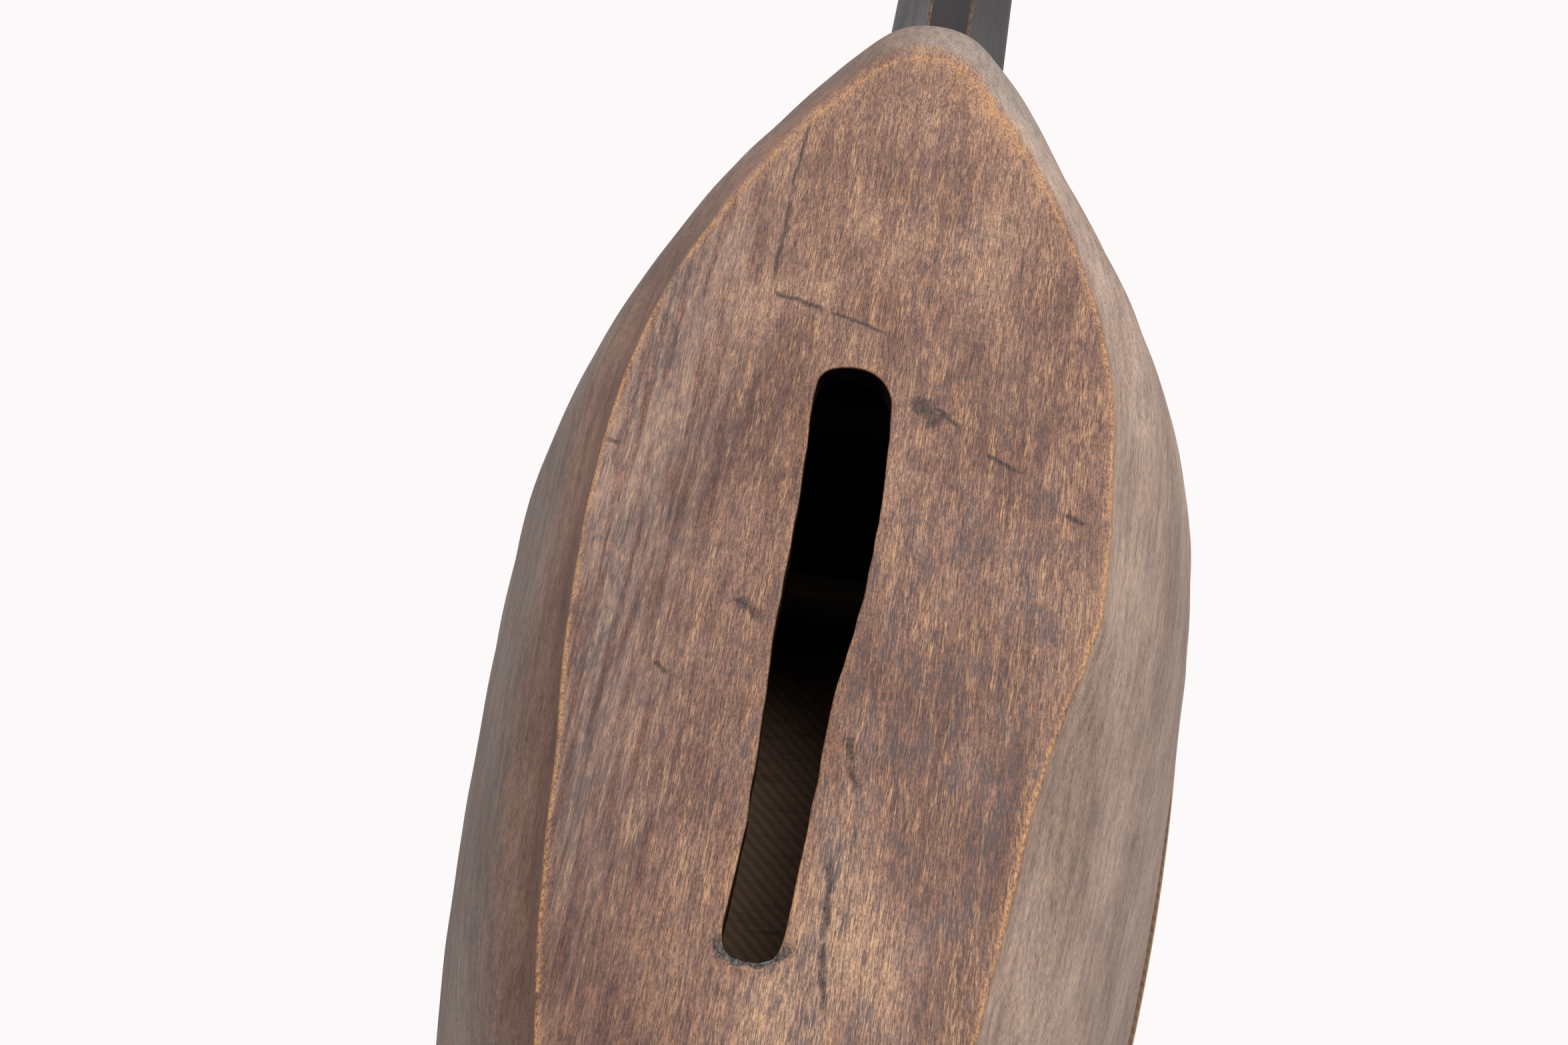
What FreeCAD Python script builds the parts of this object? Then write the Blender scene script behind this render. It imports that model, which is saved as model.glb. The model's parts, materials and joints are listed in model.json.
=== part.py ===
import FreeCAD, Part
import math
import os
import Sketcher
from FreeCAD import Placement, Rotation, Vector

# A dug-out balalaika, standing on its tail.
# +Z runs up the neck, -Y faces the player's strings, +Y faces out of the keel at the back.
# The origin is on the centre line, under the tail, half way through the body's depth.

doc = FreeCAD.newDocument("Balalaika")

# ---------------------------------------------------------------- driving sizes, in millimetres

SIZES = [
    ("glue_plane", -32.0, "Y of the joint between bowl and soundboard"),
    ("tail_level", 5.0, "Z of the bowl's tail edge, the height of the string pins' heads"),
    # the bowl, outside
    ("rim_length", 352.0, "bowl, tail to tip, at the rim"),
    ("rim_half_width", 72.0, "bowl, half width at the rim"),
    ("rim_widest", 187.0, "tail to the widest place of the rim"),
    ("bowl_depth", 79.0, "rim to keel face"),
    ("keel_length", 291.0, "flat keel face, tail to tip"),
    ("keel_half_width", 50.0, "flat keel face, half width"),
    ("keel_tail", 16.0, "how far the keel face starts above the tail edge"),
    ("keel_widest", 171.0, "tail edge to the widest place of the keel face"),
    ("rim_tip_radius", 24.0, "tip of the rim"),
    ("keel_tip_radius", 12.0, "tip of the keel face"),
    ("side_radius", 720.0, "long arcs from the widest place to the tail"),
    ("rim_corner_radius", 34.0, "tail corners of the rim"),
    ("keel_corner_radius", 15.0, "tail corners of the keel face"),
    ("tail_radius", 130.0, "arc across the tail"),
    # the bowl, inside
    ("side_wall", 6.0, "bowl, side walls"),
    ("keel_wall", 5.0, "bowl, plate behind the keel face"),
    ("tail_wall", 18.0, "bowl, wood left at the tail for the pins"),
    ("tip_block", 44.0, "bowl, wood left at the tip for the neck"),
    ("slot_foot", 50.0, "tail edge to the lower end of the keel slot"),
    ("slot_length", 149.0, "keel slot"),
    ("slot_top_radius", 7.9, "keel slot, end towards the neck"),
    ("slot_foot_radius", 5.2, "keel slot, end towards the tail"),
    ("slot_top_shift", 2.7, "keel slot, top end off the centre line"),
    ("slot_foot_shift", 3.8, "keel slot, lower end off the centre line"),
    # the soundboard
    ("board_thick", 3.0, "soundboard"),
    ("board_overhang", 0.8, "soundboard past the bowl's rim"),
    ("hole_radius", 8.0, "sound hole"),
    ("hole_level", 287.0, "tail edge to the sound hole's centre"),
    ("brace_height", 9.0, "soundboard braces"),
    ("brace_end_height", 3.0, "soundboard braces, at their ends"),
    ("brace_thick", 6.0, "soundboard braces"),
    ("brace_gap", 2.0, "brace ends to the bowl's wall"),
    ("brace_upper_level", 266.0, "tail edge to the brace below the sound hole"),
    ("brace_middle_level", 205.0, "tail edge to the brace half way up the body"),
    ("brace_lower_level", 75.0, "tail edge to the brace below the bridge"),
    # the neck
    ("neck_set", 7.0, "tip of the rim down to the flat that the neck butts against"),
    ("heel_length", 45.0, "heel of the neck"),
    ("heel_depth", 33.0, "neck depth at the shoulder"),
    ("heel_side", 12.0, "straight side of the heel"),
    ("heel_flat", 15.0, "back facet at the shoulder"),
    ("neck_depth", 22.0, "neck depth above the heel"),
    ("nut_depth", 18.0, "neck depth at the nut"),
    ("neck_side", 8.0, "straight side of the neck"),
    ("neck_flat", 11.0, "back facet of the neck"),
    ("tenon_width", 14.0, "neck tenon"),
    ("tenon_depth", 22.0, "neck tenon"),
    ("tenon_length", 28.0, "neck tenon"),
    ("joint_clearance", 0.1, "glued joints, each side"),
    # the scale
    ("string_scale", 467.0, "bridge to nut"),
    ("bridge_level", 110.0, "tail edge to the bridge's crest"),
    ("finger_margin", 10.0, "fingerboard below its last fret"),
    ("finger_thick", 4.5, "fingerboard"),
    ("finger_top_width", 27.5, "fingerboard at the nut"),
    ("finger_foot_width", 33.5, "fingerboard at its lower end"),
    ("fret_height", 1.0, "fret crown above the fingerboard"),
    ("fret_width", 2.2, "fret crown"),
    ("fret_tang", 1.6, "fret tang, depth in the slot"),
    ("fret_tang_thick", 0.6, "fret tang"),
    ("fret_inset", 0.4, "fret ends inside the fingerboard's edges"),
    ("dot_radius", 2.4, "position dots"),
    ("dot_thick", 1.2, "position dots"),
    ("nut_thick", 5.0, "nut, along the strings"),
    ("nut_rise", 1.8, "nut above the fingerboard"),
    ("nut_land", 2.0, "nut's flat crest, along the strings"),
    ("nut_kink", 3.5, "where the strings bend back, above the nut's lower face"),
    ("nut_ledge", 1.0, "neck wood between the nut and the head"),
    # strings and what holds them
    ("string_radius", 0.45, "strings"),
    ("string_clearance", 0.05, "strings to what they bear on"),
    ("nut_spacing", 9.0, "strings at the nut"),
    ("bridge_spacing", 11.0, "strings at the bridge, the tail saddle and the pins"),
    ("bridge_height", 9.5, "bridge, without its saddle"),
    ("bridge_length", 64.0, "bridge"),
    ("bridge_thick", 7.0, "bridge"),
    ("bridge_foot", 13.0, "bridge feet"),
    ("bridge_arch", 3.0, "bridge, gap between its feet and the soundboard"),
    ("bridge_arch_slope", 3.0, "bridge, slope from a foot into the arch"),
    ("bridge_end_height", 2.7, "bridge, at its ends"),
    ("bridge_step", 5.2, "bridge, end to the start of its sloping shoulder"),
    ("bridge_step_height", 4.2, "bridge, where its shoulder starts"),
    ("bridge_land", 2.0, "bridge's crest past its saddle"),
    ("saddle_length", 30.0, "bridge saddle and tail saddle"),
    ("saddle_height", 2.4, "bridge saddle"),
    ("saddle_thick", 2.5, "bridge saddle"),
    ("saddle_ease", 0.6, "bridge saddle, eased edges"),
    ("saddle_land", 1.0, "bridge saddle's crest, along the strings"),
    ("notch_depth", 0.8, "string notches in nut and saddles"),
    ("tail_saddle_rise", 2.4, "tail saddle above the soundboard"),
    ("tail_saddle_thick", 5.5, "tail saddle, along the strings"),
    ("tail_saddle_sink", 3.0, "tail saddle, let into the bowl's rim"),
    ("tail_saddle_stand", 1.0, "tail saddle past the tail edge"),
    ("tail_saddle_ease", 1.9, "tail saddle, corner that the strings turn over"),
    ("tail_saddle_chamfer", 1.0, "tail saddle, upper corner"),
    ("pin_radius", 2.0, "string pins"),
    ("pin_grip", 13.0, "string pins, length in the tail"),
    ("pin_head_radius", 3.2, "string pins' heads"),
    ("pin_head_thick", 1.6, "string pins' heads"),
    ("pin_inset", 15.0, "string pins behind the glue plane"),
    # the head and its pegs
    ("head_tilt", 10.0, "head, tilted back, degrees"),
    ("head_length", 118.0, "head"),
    ("head_thick", 15.0, "head"),
    ("head_half_width", 22.0, "head, widest place, at its shoulders"),
    ("head_shoulder", 93.2, "throat to the head's shoulders"),
    ("head_crown_half_width", 15.8, "head's crown, at its foot"),
    ("head_bend_half_width", 17.8, "head, half way up its flared sides"),
    ("head_bend_level", 51.3, "throat to half way up the flared sides"),
    ("throat_facets", 2.0, "neck facets carried into the head"),
    ("throat_blend", 20.0, "throat to the end of the blend into the head"),
    ("blend_step", 0.5, "blend inside the head's back face"),
    ("veneer_thick", 1.5, "head veneer"),
    ("veneer_start", 4.0, "head veneer above the throat"),
    ("peg_radius", 4.0, "peg shank"),
    ("peg_clearance", 0.05, "peg shank in its hole, each side"),
    ("peg_tip", 12.0, "peg in front of the veneer"),
    ("peg_tip_radius", 3.4, "peg where the string is wound"),
    ("peg_step", 0.4, "peg shank past the veneer"),
    ("peg_ease", 0.6, "peg, turned edges"),
    ("peg_collar_radius", 6.5, "peg collar"),
    ("peg_collar_thick", 3.0, "peg collar"),
    ("peg_stem", 5.0, "peg between collar and thumb piece"),
    ("peg_stem_radius", 3.3, "peg between collar and thumb piece"),
    ("peg_stem_end", 1.5, "peg stem, run on into the thumb piece"),
    ("thumb_height", 17.0, "peg thumb piece, along the peg"),
    ("thumb_half_width", 9.5, "peg thumb piece"),
    ("thumb_thick", 6.0, "peg thumb piece"),
    ("side_peg_level", 40.0, "throat to the two side pegs"),
    ("side_peg_shift", 10.2, "side pegs off the centre line"),
    ("top_peg_level", 76.0, "throat to the middle peg"),
    ("winding_height", 3.6, "string wound on the peg"),
    ("winding_place", 3.5, "winding in front of the veneer"),
    ("winding_clearance", 0.15, "winding to the peg inside it, each side"),
]

sheet = doc.addObject("Spreadsheet::Sheet", "Sizes")
for row, (alias, value, what) in enumerate(SIZES, start=1):
    sheet.set("A%d" % row, what)
    sheet.set("B%d" % row, str(value))
    sheet.setAlias("B%d" % row, alias)
doc.recompute()


def size(alias):
    """One driving size, as a number."""
    return float(sheet.get(alias))


def worked(expression):
    """The number that an expression on the sheet gives now."""
    return float(sheet.evalExpression(expression))


# Shapes given as shares of a piece's own sizes.
OUTSIDE_LEVELS = (0.0, 0.12, 0.5, 1.0)
INSIDE_LEVELS = (0.0, 0.14, 0.5, 1.0)
BRACE_FULL = 0.7
FRET_CROWN = ((1.0, 0.0), (0.85, 0.6), (0.4, 1.0))
THUMB_FAN = ((0.27, 0.0), (0.75, 0.22), (1.0, 0.5), (0.86, 0.8), (0.45, 1.0))

# How far a cutting outline reaches past the wood that it cuts, in millimetres.
PAST = "2"

FRETS = 14
DOT_FRETS = (2, 5, 7, 10, 12)

# Places that several pieces share, as expressions on the sheet.
DECK = "(Sizes.glue_plane - Sizes.board_thick)"
FINGER_FACE = "(%s - Sizes.finger_thick)" % DECK
KEEL = "(Sizes.glue_plane + Sizes.bowl_depth)"
SHOULDER = "(Sizes.tail_level + Sizes.rim_length - Sizes.neck_set)"
BRIDGE_Z = "(Sizes.tail_level + Sizes.bridge_level)"
NUT_Z = "(%s + Sizes.string_scale)" % BRIDGE_Z
THROAT_Z = "(%s + Sizes.nut_thick + Sizes.nut_ledge)" % NUT_Z


def fret_z(number):
    """Height of a fret: each one is a twelfth root of two nearer to the bridge."""
    return "(%s + Sizes.string_scale * %.9f)" % (BRIDGE_Z, 2.0 ** (-number / 12.0))


FINGER_FOOT = "(%s - Sizes.finger_margin)" % fret_z(FRETS)


def finger_width(z):
    """Width of the fingerboard at height z, as an expression: it tapers evenly."""
    taper = "(Sizes.finger_foot_width - Sizes.finger_top_width) / (%s - %s)" % (NUT_Z, FINGER_FOOT)
    return "(Sizes.finger_top_width + (%s - %s) * %s)" % (NUT_Z, z, taper)


# ---------------------------------------------------------------- building helpers

HEAD_FRAME = Placement(
    Vector(0, worked(DECK), worked(THROAT_Z)),
    Rotation(Vector(1, 0, 0), -size("head_tilt")),
)


def new_body(label):
    body = doc.addObject("PartDesign::Body", label)
    body.Label = label
    return body


def new_sketch(body, name, plane, level="0"):
    """A sketch on one of the body's own planes, moved along that plane's normal."""
    sketch = body.newObject("Sketcher::SketchObject", name)
    origin_planes = [f for f in body.Origin.OriginFeatures if f.Role == plane]
    sketch.AttachmentSupport = [(origin_planes[0], "")]
    sketch.MapMode = "FlatFace"
    sketch.setExpression("AttachmentOffset.Base.z", level)
    return sketch


def polygon(sketch, points):
    """A closed outline of straight lines; every corner is held by two expressions."""
    corners = [Vector(worked(x), worked(y), 0) for x, y in points]
    first = sketch.GeometryCount
    for here, there in zip(corners, corners[1:] + corners[:1]):
        sketch.addGeometry(Part.LineSegment(here, there), False)
    count = len(corners)
    for i in range(count):
        sketch.addConstraint(Sketcher.Constraint("Coincident", first + i, 2, first + (i + 1) % count, 1))
    for i, (x, y) in enumerate(points):
        for kind, text, number in (("DistanceX", x, corners[i].x), ("DistanceY", y, corners[i].y)):
            index = sketch.addConstraint(Sketcher.Constraint(kind, -1, 1, first + i, 1, number))
            sketch.setExpression("Constraints[%d]" % index, text)


def circle(sketch, x, y, radius):
    """A circle held by expressions for its centre and radius."""
    centre = Vector(worked(x), worked(y), 0)
    index = sketch.addGeometry(Part.Circle(centre, Vector(0, 0, 1), worked(radius)), False)
    for kind, text, number in (("DistanceX", x, centre.x), ("DistanceY", y, centre.y)):
        held = sketch.addConstraint(Sketcher.Constraint(kind, -1, 1, index, 3, number))
        sketch.setExpression("Constraints[%d]" % held, text)
    held = sketch.addConstraint(Sketcher.Constraint("Radius", index, worked(radius)))
    sketch.setExpression("Constraints[%d]" % held, radius)


def rectangle(sketch, x_low, x_high, y_low, y_high):
    polygon(sketch, [(x_low, y_low), (x_high, y_low), (x_high, y_high), (x_low, y_high)])


def extrude(body, kind, name, sketch, length, reverse=False, middle=False):
    """A Pad or Pocket whose length is an expression."""
    feature = body.newObject("PartDesign::" + kind, name)
    feature.Profile = sketch
    feature.setExpression("Length", length)
    feature.Reversed = reverse
    if middle:
        feature.SideType = "Symmetric"
    sketch.Visibility = False
    return feature


def loft(body, kind, name, sketches, ruled=False):
    feature = body.newObject("PartDesign::" + kind, name)
    feature.Profile = sketches[0]
    feature.Sections = sketches[1:]
    feature.Ruled = ruled
    return feature


# ---------------------------------------------------------------- the bowl's leaf outline

def arc_between(centre, radius, start, end):
    """The arc about a centre from one point to another, the short way round."""
    first = math.atan2(start.y - centre.y, start.x - centre.x)
    turn = math.atan2(end.y - centre.y, end.x - centre.x) - first
    turn = (turn + math.pi) % (2 * math.pi) - math.pi
    middle = first + turn / 2
    through = centre + Vector(radius * math.cos(middle), radius * math.sin(middle), 0)
    return Part.Arc(start, through, end)


def leaf(tail, tip, widest, half_width, tip_radius, corner_radius, side_radius, tail_radius):
    """A leaf-shaped outline of tangent arcs, symmetric about x = 0, from the tip round by the right."""
    tip_centre = Vector(0, tip - tip_radius, 0)
    rise = tip_centre.y - widest
    flank_radius = (half_width ** 2 + rise ** 2 - tip_radius ** 2) / (2 * (half_width - tip_radius))
    flank_centre = Vector(half_width - flank_radius, widest, 0)
    side_centre = Vector(half_width - side_radius, widest, 0)
    tail_centre = Vector(0, tail + tail_radius, 0)

    # The corner circle lies inside both the side arc and the tail arc.
    to_side = side_radius - corner_radius
    to_tail = tail_radius - corner_radius
    apart = tail_centre - side_centre
    along = (apart.Length ** 2 + to_side ** 2 - to_tail ** 2) / (2 * apart.Length)
    across = math.sqrt(to_side ** 2 - along ** 2)
    unit = apart / apart.Length
    corner_centre = side_centre + unit * along + Vector(unit.y, -unit.x, 0) * across

    def past(centre, through, radius):
        """The point where the line from one centre through another meets the circle."""
        way = through - centre
        return centre + way / way.Length * radius

    flank_top = past(flank_centre, tip_centre, flank_radius)
    side_top = Vector(half_width, widest, 0)
    side_foot = past(side_centre, corner_centre, side_radius)
    tail_end = past(tail_centre, corner_centre, tail_radius)
    right = [
        (flank_centre, flank_radius, flank_top, side_top),
        (side_centre, side_radius, side_top, side_foot),
        (corner_centre, corner_radius, side_foot, tail_end),
    ]

    def mirrored(point):
        return Vector(-point.x, point.y, 0)

    arcs = [arc_between(*piece) for piece in right]
    arcs.append(arc_between(tail_centre, tail_radius, tail_end, mirrored(tail_end)))
    for centre, radius, start, end in reversed(right):
        arcs.append(arc_between(mirrored(centre), radius, mirrored(end), mirrored(start)))
    arcs.append(arc_between(tip_centre, tip_radius, mirrored(flank_top), flank_top))
    return arcs


def bowl_outline(depth, side=0.0, tail=0.0, tip=0.0):
    """The bowl's outline at a depth below the keel face, drawn in by a side wall, tail wall and tip block.

    The sides flare like a parabola and the two ends like a quarter circle, both upright at the rim.
    """
    share = 1 - depth / size("bowl_depth")
    wide = 1 - share ** 2
    ends = math.sqrt(1 - share ** 2)

    def between(keel_value, rim_value, part):
        return keel_value + (rim_value - keel_value) * part

    base = size("tail_level")
    keel_tip = size("keel_tail") + size("keel_length")
    return leaf(
        tail=base + between(size("keel_tail"), 0, ends) + tail,
        tip=base + between(keel_tip, size("rim_length"), ends) - tip,
        widest=base + between(size("keel_widest"), size("rim_widest"), wide),
        half_width=between(size("keel_half_width"), size("rim_half_width"), wide) - side,
        tip_radius=between(size("keel_tip_radius"), size("rim_tip_radius"), wide),
        corner_radius=between(size("keel_corner_radius"), size("rim_corner_radius"), wide),
        side_radius=size("side_radius"),
        tail_radius=size("tail_radius"),
    )


def outline_sketch(body, name, y, arcs):
    """An outline laid in the plane at this Y."""
    sketch = new_sketch(body, name, "XZ_Plane", "-(%s)" % y)
    sketch.addGeometry(arcs, False)
    return sketch


def width_inside(z):
    """Half the clear width inside the bowl's rim, at height z."""
    arcs = bowl_outline(size("bowl_depth"), size("side_wall"), size("tail_wall"), size("tip_block"))
    line = Part.makeLine(Vector(0, z, 0), Vector(2 * size("rim_half_width"), z, 0))
    hits = [line.distToShape(arc.toShape()) for arc in arcs]
    near = min(hits, key=lambda hit: hit[0])
    return near[1][0][0].x


# ---------------------------------------------------------------- bowl and soundboard

def make_bowl():
    body = new_body("bowl")
    depth = size("bowl_depth")
    outside = []
    for i, share in enumerate(OUTSIDE_LEVELS):
        y = "%s - %.3f * Sizes.bowl_depth" % (KEEL, share)
        outside.append(outline_sketch(body, "outside_%d" % i, y, bowl_outline(share * depth)))
    loft(body, "AdditiveLoft", "block", outside)

    inside = []
    floor = size("keel_wall")
    for i, share in enumerate(INSIDE_LEVELS):
        level = floor + share * (depth - floor)
        y = "%s - Sizes.keel_wall - %.3f * (Sizes.bowl_depth - Sizes.keel_wall)" % (KEEL, share)
        arcs = bowl_outline(level, size("side_wall"), size("tail_wall"), size("tip_block"))
        inside.append(outline_sketch(body, "inside_%d" % i, y, arcs))
    loft(body, "SubtractiveLoft", "hollow", inside)

    # The slot in the keel: two unequal rounded ends joined by straight edges.
    sketch = new_sketch(body, "slot_outline", "XZ_Plane", "-%s" % KEEL)
    sketch.addGeometry(slot_outline(), False)
    extrude(body, "Pocket", "slot", sketch, "Sizes.keel_wall * 2", reverse=True)

    # The tip is cut flat for the neck, and mortised for its tenon.
    sketch = new_sketch(body, "tip_cut", "XY_Plane", SHOULDER)
    reach = "2 * Sizes.rim_half_width"
    rectangle(sketch, "-" + reach, reach, "-" + reach, reach)
    extrude(body, "Pocket", "tip_flat", sketch, "Sizes.rim_length", reverse=True)
    sketch = new_sketch(body, "mortise_outline", "XY_Plane", SHOULDER)
    half = "(Sizes.tenon_width / 2 + Sizes.joint_clearance)"
    foot = "Sizes.glue_plane + Sizes.tenon_depth + Sizes.joint_clearance"
    rectangle(sketch, "-" + half, half, "Sizes.glue_plane - Sizes.board_thick", foot)
    extrude(body, "Pocket", "mortise", sketch, "Sizes.tenon_length + Sizes.joint_clearance")

    # The tail takes the tail saddle and the string pins.
    sketch = new_sketch(body, "saddle_notch_outline", "XY_Plane",
                        "Sizes.tail_level - Sizes.tail_saddle_stand")
    half = "(Sizes.saddle_length / 2 + Sizes.joint_clearance)"
    sunk = "Sizes.glue_plane + Sizes.tail_saddle_sink"
    rectangle(sketch, "-" + half, half, DECK, sunk)
    extrude(body, "Pocket", "saddle_notch", sketch, "Sizes.tail_saddle_thick", reverse=True)
    sketch = new_sketch(body, "pin_holes_outline", "XY_Plane", "0")
    for side in (-1, 0, 1):
        circle(sketch, "%d * Sizes.bridge_spacing" % side, "Sizes.glue_plane + Sizes.pin_inset",
               "Sizes.pin_radius")
    extrude(body, "Pocket", "pin_holes", sketch, "Sizes.tail_level + Sizes.pin_grip", reverse=True)
    return body


def slot_outline():
    """The slot: two circles of different size and the lines that touch both."""
    top_radius = size("slot_top_radius")
    foot_radius = size("slot_foot_radius")
    base = size("tail_level") + size("slot_foot")
    top = Vector(size("slot_top_shift"), base + size("slot_length") - top_radius, 0)
    foot = Vector(size("slot_foot_shift"), base + foot_radius, 0)
    axis = top - foot
    unit = axis / axis.Length
    side = Vector(unit.y, -unit.x, 0)
    lean = (top_radius - foot_radius) / axis.Length
    normals = [side * (sign * math.sqrt(1 - lean ** 2)) - unit * lean for sign in (1, -1)]
    right_top, left_top = [top + n * top_radius for n in normals]
    right_foot, left_foot = [foot + n * foot_radius for n in normals]
    return [
        Part.LineSegment(right_foot, right_top),
        Part.Arc(right_top, top + unit * top_radius, left_top),
        Part.LineSegment(left_top, left_foot),
        Part.Arc(left_foot, foot - unit * foot_radius, right_foot),
    ]


def make_soundboard():
    body = new_body("soundboard")
    over = -size("board_overhang")
    arcs = bowl_outline(size("bowl_depth"), over, over, over)
    sketch = outline_sketch(body, "outline", "Sizes.glue_plane", arcs)
    extrude(body, "Pad", "plate", sketch, "Sizes.board_thick")
    sketch = new_sketch(body, "hole_outline", "XZ_Plane", "-Sizes.glue_plane")
    circle(sketch, "0", "Sizes.tail_level + Sizes.hole_level", "Sizes.hole_radius")
    extrude(body, "Pocket", "sound_hole", sketch, "Sizes.board_thick", reverse=True)
    sketch = new_sketch(body, "tip_cut", "XY_Plane", SHOULDER)
    reach = "2 * Sizes.rim_half_width"
    rectangle(sketch, "-" + reach, reach, "-" + reach, reach)
    extrude(body, "Pocket", "tip_flat", sketch, "Sizes.rim_length", reverse=True)
    sketch = new_sketch(body, "saddle_notch_outline", "XY_Plane",
                        "Sizes.tail_level - Sizes.tail_saddle_stand")
    half = "(Sizes.saddle_length / 2 + Sizes.joint_clearance)"
    rectangle(sketch, "-" + half, half, "2 * " + DECK, "Sizes.glue_plane / 2")
    extrude(body, "Pocket", "saddle_notch", sketch, "Sizes.tail_saddle_thick", reverse=True)
    return body


def make_brace(label):
    """A bar glued across the back of the soundboard, its ends cut thinner, just clear of the walls."""
    level = "(Sizes.tail_level + Sizes.%s_level)" % label
    z = worked(level)
    edge = size("brace_thick") / 2
    half = min(width_inside(z - edge), width_inside(z + edge)) - size("brace_gap")
    body = new_body(label)
    sketch = new_sketch(body, "profile", "XY_Plane", level)
    back = "(Sizes.glue_plane + Sizes.brace_height)"
    thin = "(Sizes.glue_plane + Sizes.brace_end_height)"
    polygon(sketch, [
        ("%.3f" % -half, "Sizes.glue_plane"),
        ("%.3f" % half, "Sizes.glue_plane"),
        ("%.3f" % half, thin),
        ("%.3f" % (half * BRACE_FULL), back),
        ("%.3f" % (-half * BRACE_FULL), back),
        ("%.3f" % -half, thin),
    ])
    extrude(body, "Pad", "bar", sketch, "Sizes.brace_thick", middle=True)
    return body


# ---------------------------------------------------------------- neck and fingerboard

def neck_section(sketch, width, side, depth, flat, face="0"):
    """A neck's section: flat front, two upright sides, two slanting facets and a back facet."""
    half = "(%s / 2)" % width
    rim = "(%s + %s)" % (face, side)
    back = "(%s + %s)" % (face, depth)
    polygon(sketch, [
        ("-" + half, face),
        (half, face),
        (half, rim),
        ("%s / 2" % flat, back),
        ("-%s / 2" % flat, back),
        ("-" + half, rim),
    ])


def tilted_sketch(body, name):
    """A sketch across the head's own axis, at the throat, with its origin on the deck line."""
    sketch = new_sketch(body, name, "XY_Plane", THROAT_Z)
    sketch.setExpression("AttachmentOffset.Base.z", None)
    sketch.AttachmentOffset = Placement(
        Vector(0, worked(DECK), worked(THROAT_Z)),
        Rotation(Vector(1, 0, 0), -size("head_tilt")),
    )
    return sketch


def make_neck():
    body = new_body("neck")
    shoulder = new_sketch(body, "shoulder_section", "XY_Plane", SHOULDER)
    neck_section(shoulder, finger_width(SHOULDER), "Sizes.heel_side", "Sizes.heel_depth", "Sizes.heel_flat",
                 DECK)
    heel_end = "(%s + Sizes.heel_length)" % SHOULDER
    waist = new_sketch(body, "waist_section", "XY_Plane", heel_end)
    neck_section(waist, finger_width(heel_end), "Sizes.neck_side", "Sizes.neck_depth", "Sizes.neck_flat",
                 DECK)
    throat = tilted_sketch(body, "throat_section")
    neck_section(throat, "Sizes.finger_top_width", "Sizes.neck_side", "Sizes.nut_depth", "Sizes.neck_flat")
    loft(body, "AdditiveLoft", "shaft", [shoulder, waist, throat], ruled=True)
    sketch = new_sketch(body, "tenon_outline", "XY_Plane", SHOULDER)
    rectangle(sketch, "-Sizes.tenon_width / 2", "Sizes.tenon_width / 2", "Sizes.glue_plane",
              "Sizes.glue_plane + Sizes.tenon_depth")
    extrude(body, "Pad", "tenon", sketch, "Sizes.tenon_length", reverse=True)
    return body


def make_fingerboard():
    body = new_body("fingerboard")
    sketch = new_sketch(body, "outline", "XZ_Plane", "-" + DECK)
    half_foot = "Sizes.finger_foot_width / 2"
    half_top = "Sizes.finger_top_width / 2"
    polygon(sketch, [
        ("-" + half_foot, FINGER_FOOT),
        (half_foot, FINGER_FOOT),
        (half_top, NUT_Z),
        ("-" + half_top, NUT_Z),
    ])
    extrude(body, "Pad", "plate", sketch, "Sizes.finger_thick")
    slots = new_sketch(body, "fret_slots_outline", "YZ_Plane")
    for number in range(1, FRETS + 1):
        half = "Sizes.fret_tang_thick / 2"
        z = fret_z(number)
        rectangle(slots, "%s - %s" % (FINGER_FACE, PAST), FINGER_FACE + " + Sizes.fret_tang",
                  "%s - %s" % (z, half), "%s + %s" % (z, half))
    extrude(body, "Pocket", "fret_slots", slots, "Sizes.finger_foot_width * 2", middle=True)
    dots = new_sketch(body, "dot_seats_outline", "XZ_Plane", "-" + FINGER_FACE)
    for number in DOT_FRETS:
        circle(dots, "0", dot_z(number), "Sizes.dot_radius")
    extrude(body, "Pocket", "dot_seats", dots, "Sizes.dot_thick")
    return body


def dot_z(number):
    """Half way between a fret and the one above it."""
    return "((%s + %s) / 2)" % (fret_z(number), fret_z(number - 1))


def make_dots():
    """All the position dots, as separate discs let in flush with the fingerboard's face."""
    discs = []
    for number in DOT_FRETS:
        disc = doc.addObject("Part::Cylinder", "dot_disc_%d" % number)
        disc.setExpression("Radius", "Sizes.dot_radius")
        disc.setExpression("Height", "Sizes.dot_thick")
        disc.Placement = Placement(Vector(), Rotation(Vector(1, 0, 0), -90))
        disc.setExpression("Placement.Base.y", FINGER_FACE)
        disc.setExpression("Placement.Base.z", dot_z(number))
        discs.append(disc)
    group = doc.addObject("Part::Compound", "position_dots")
    group.Label = "position_dots"
    group.Links = discs
    return group


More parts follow.
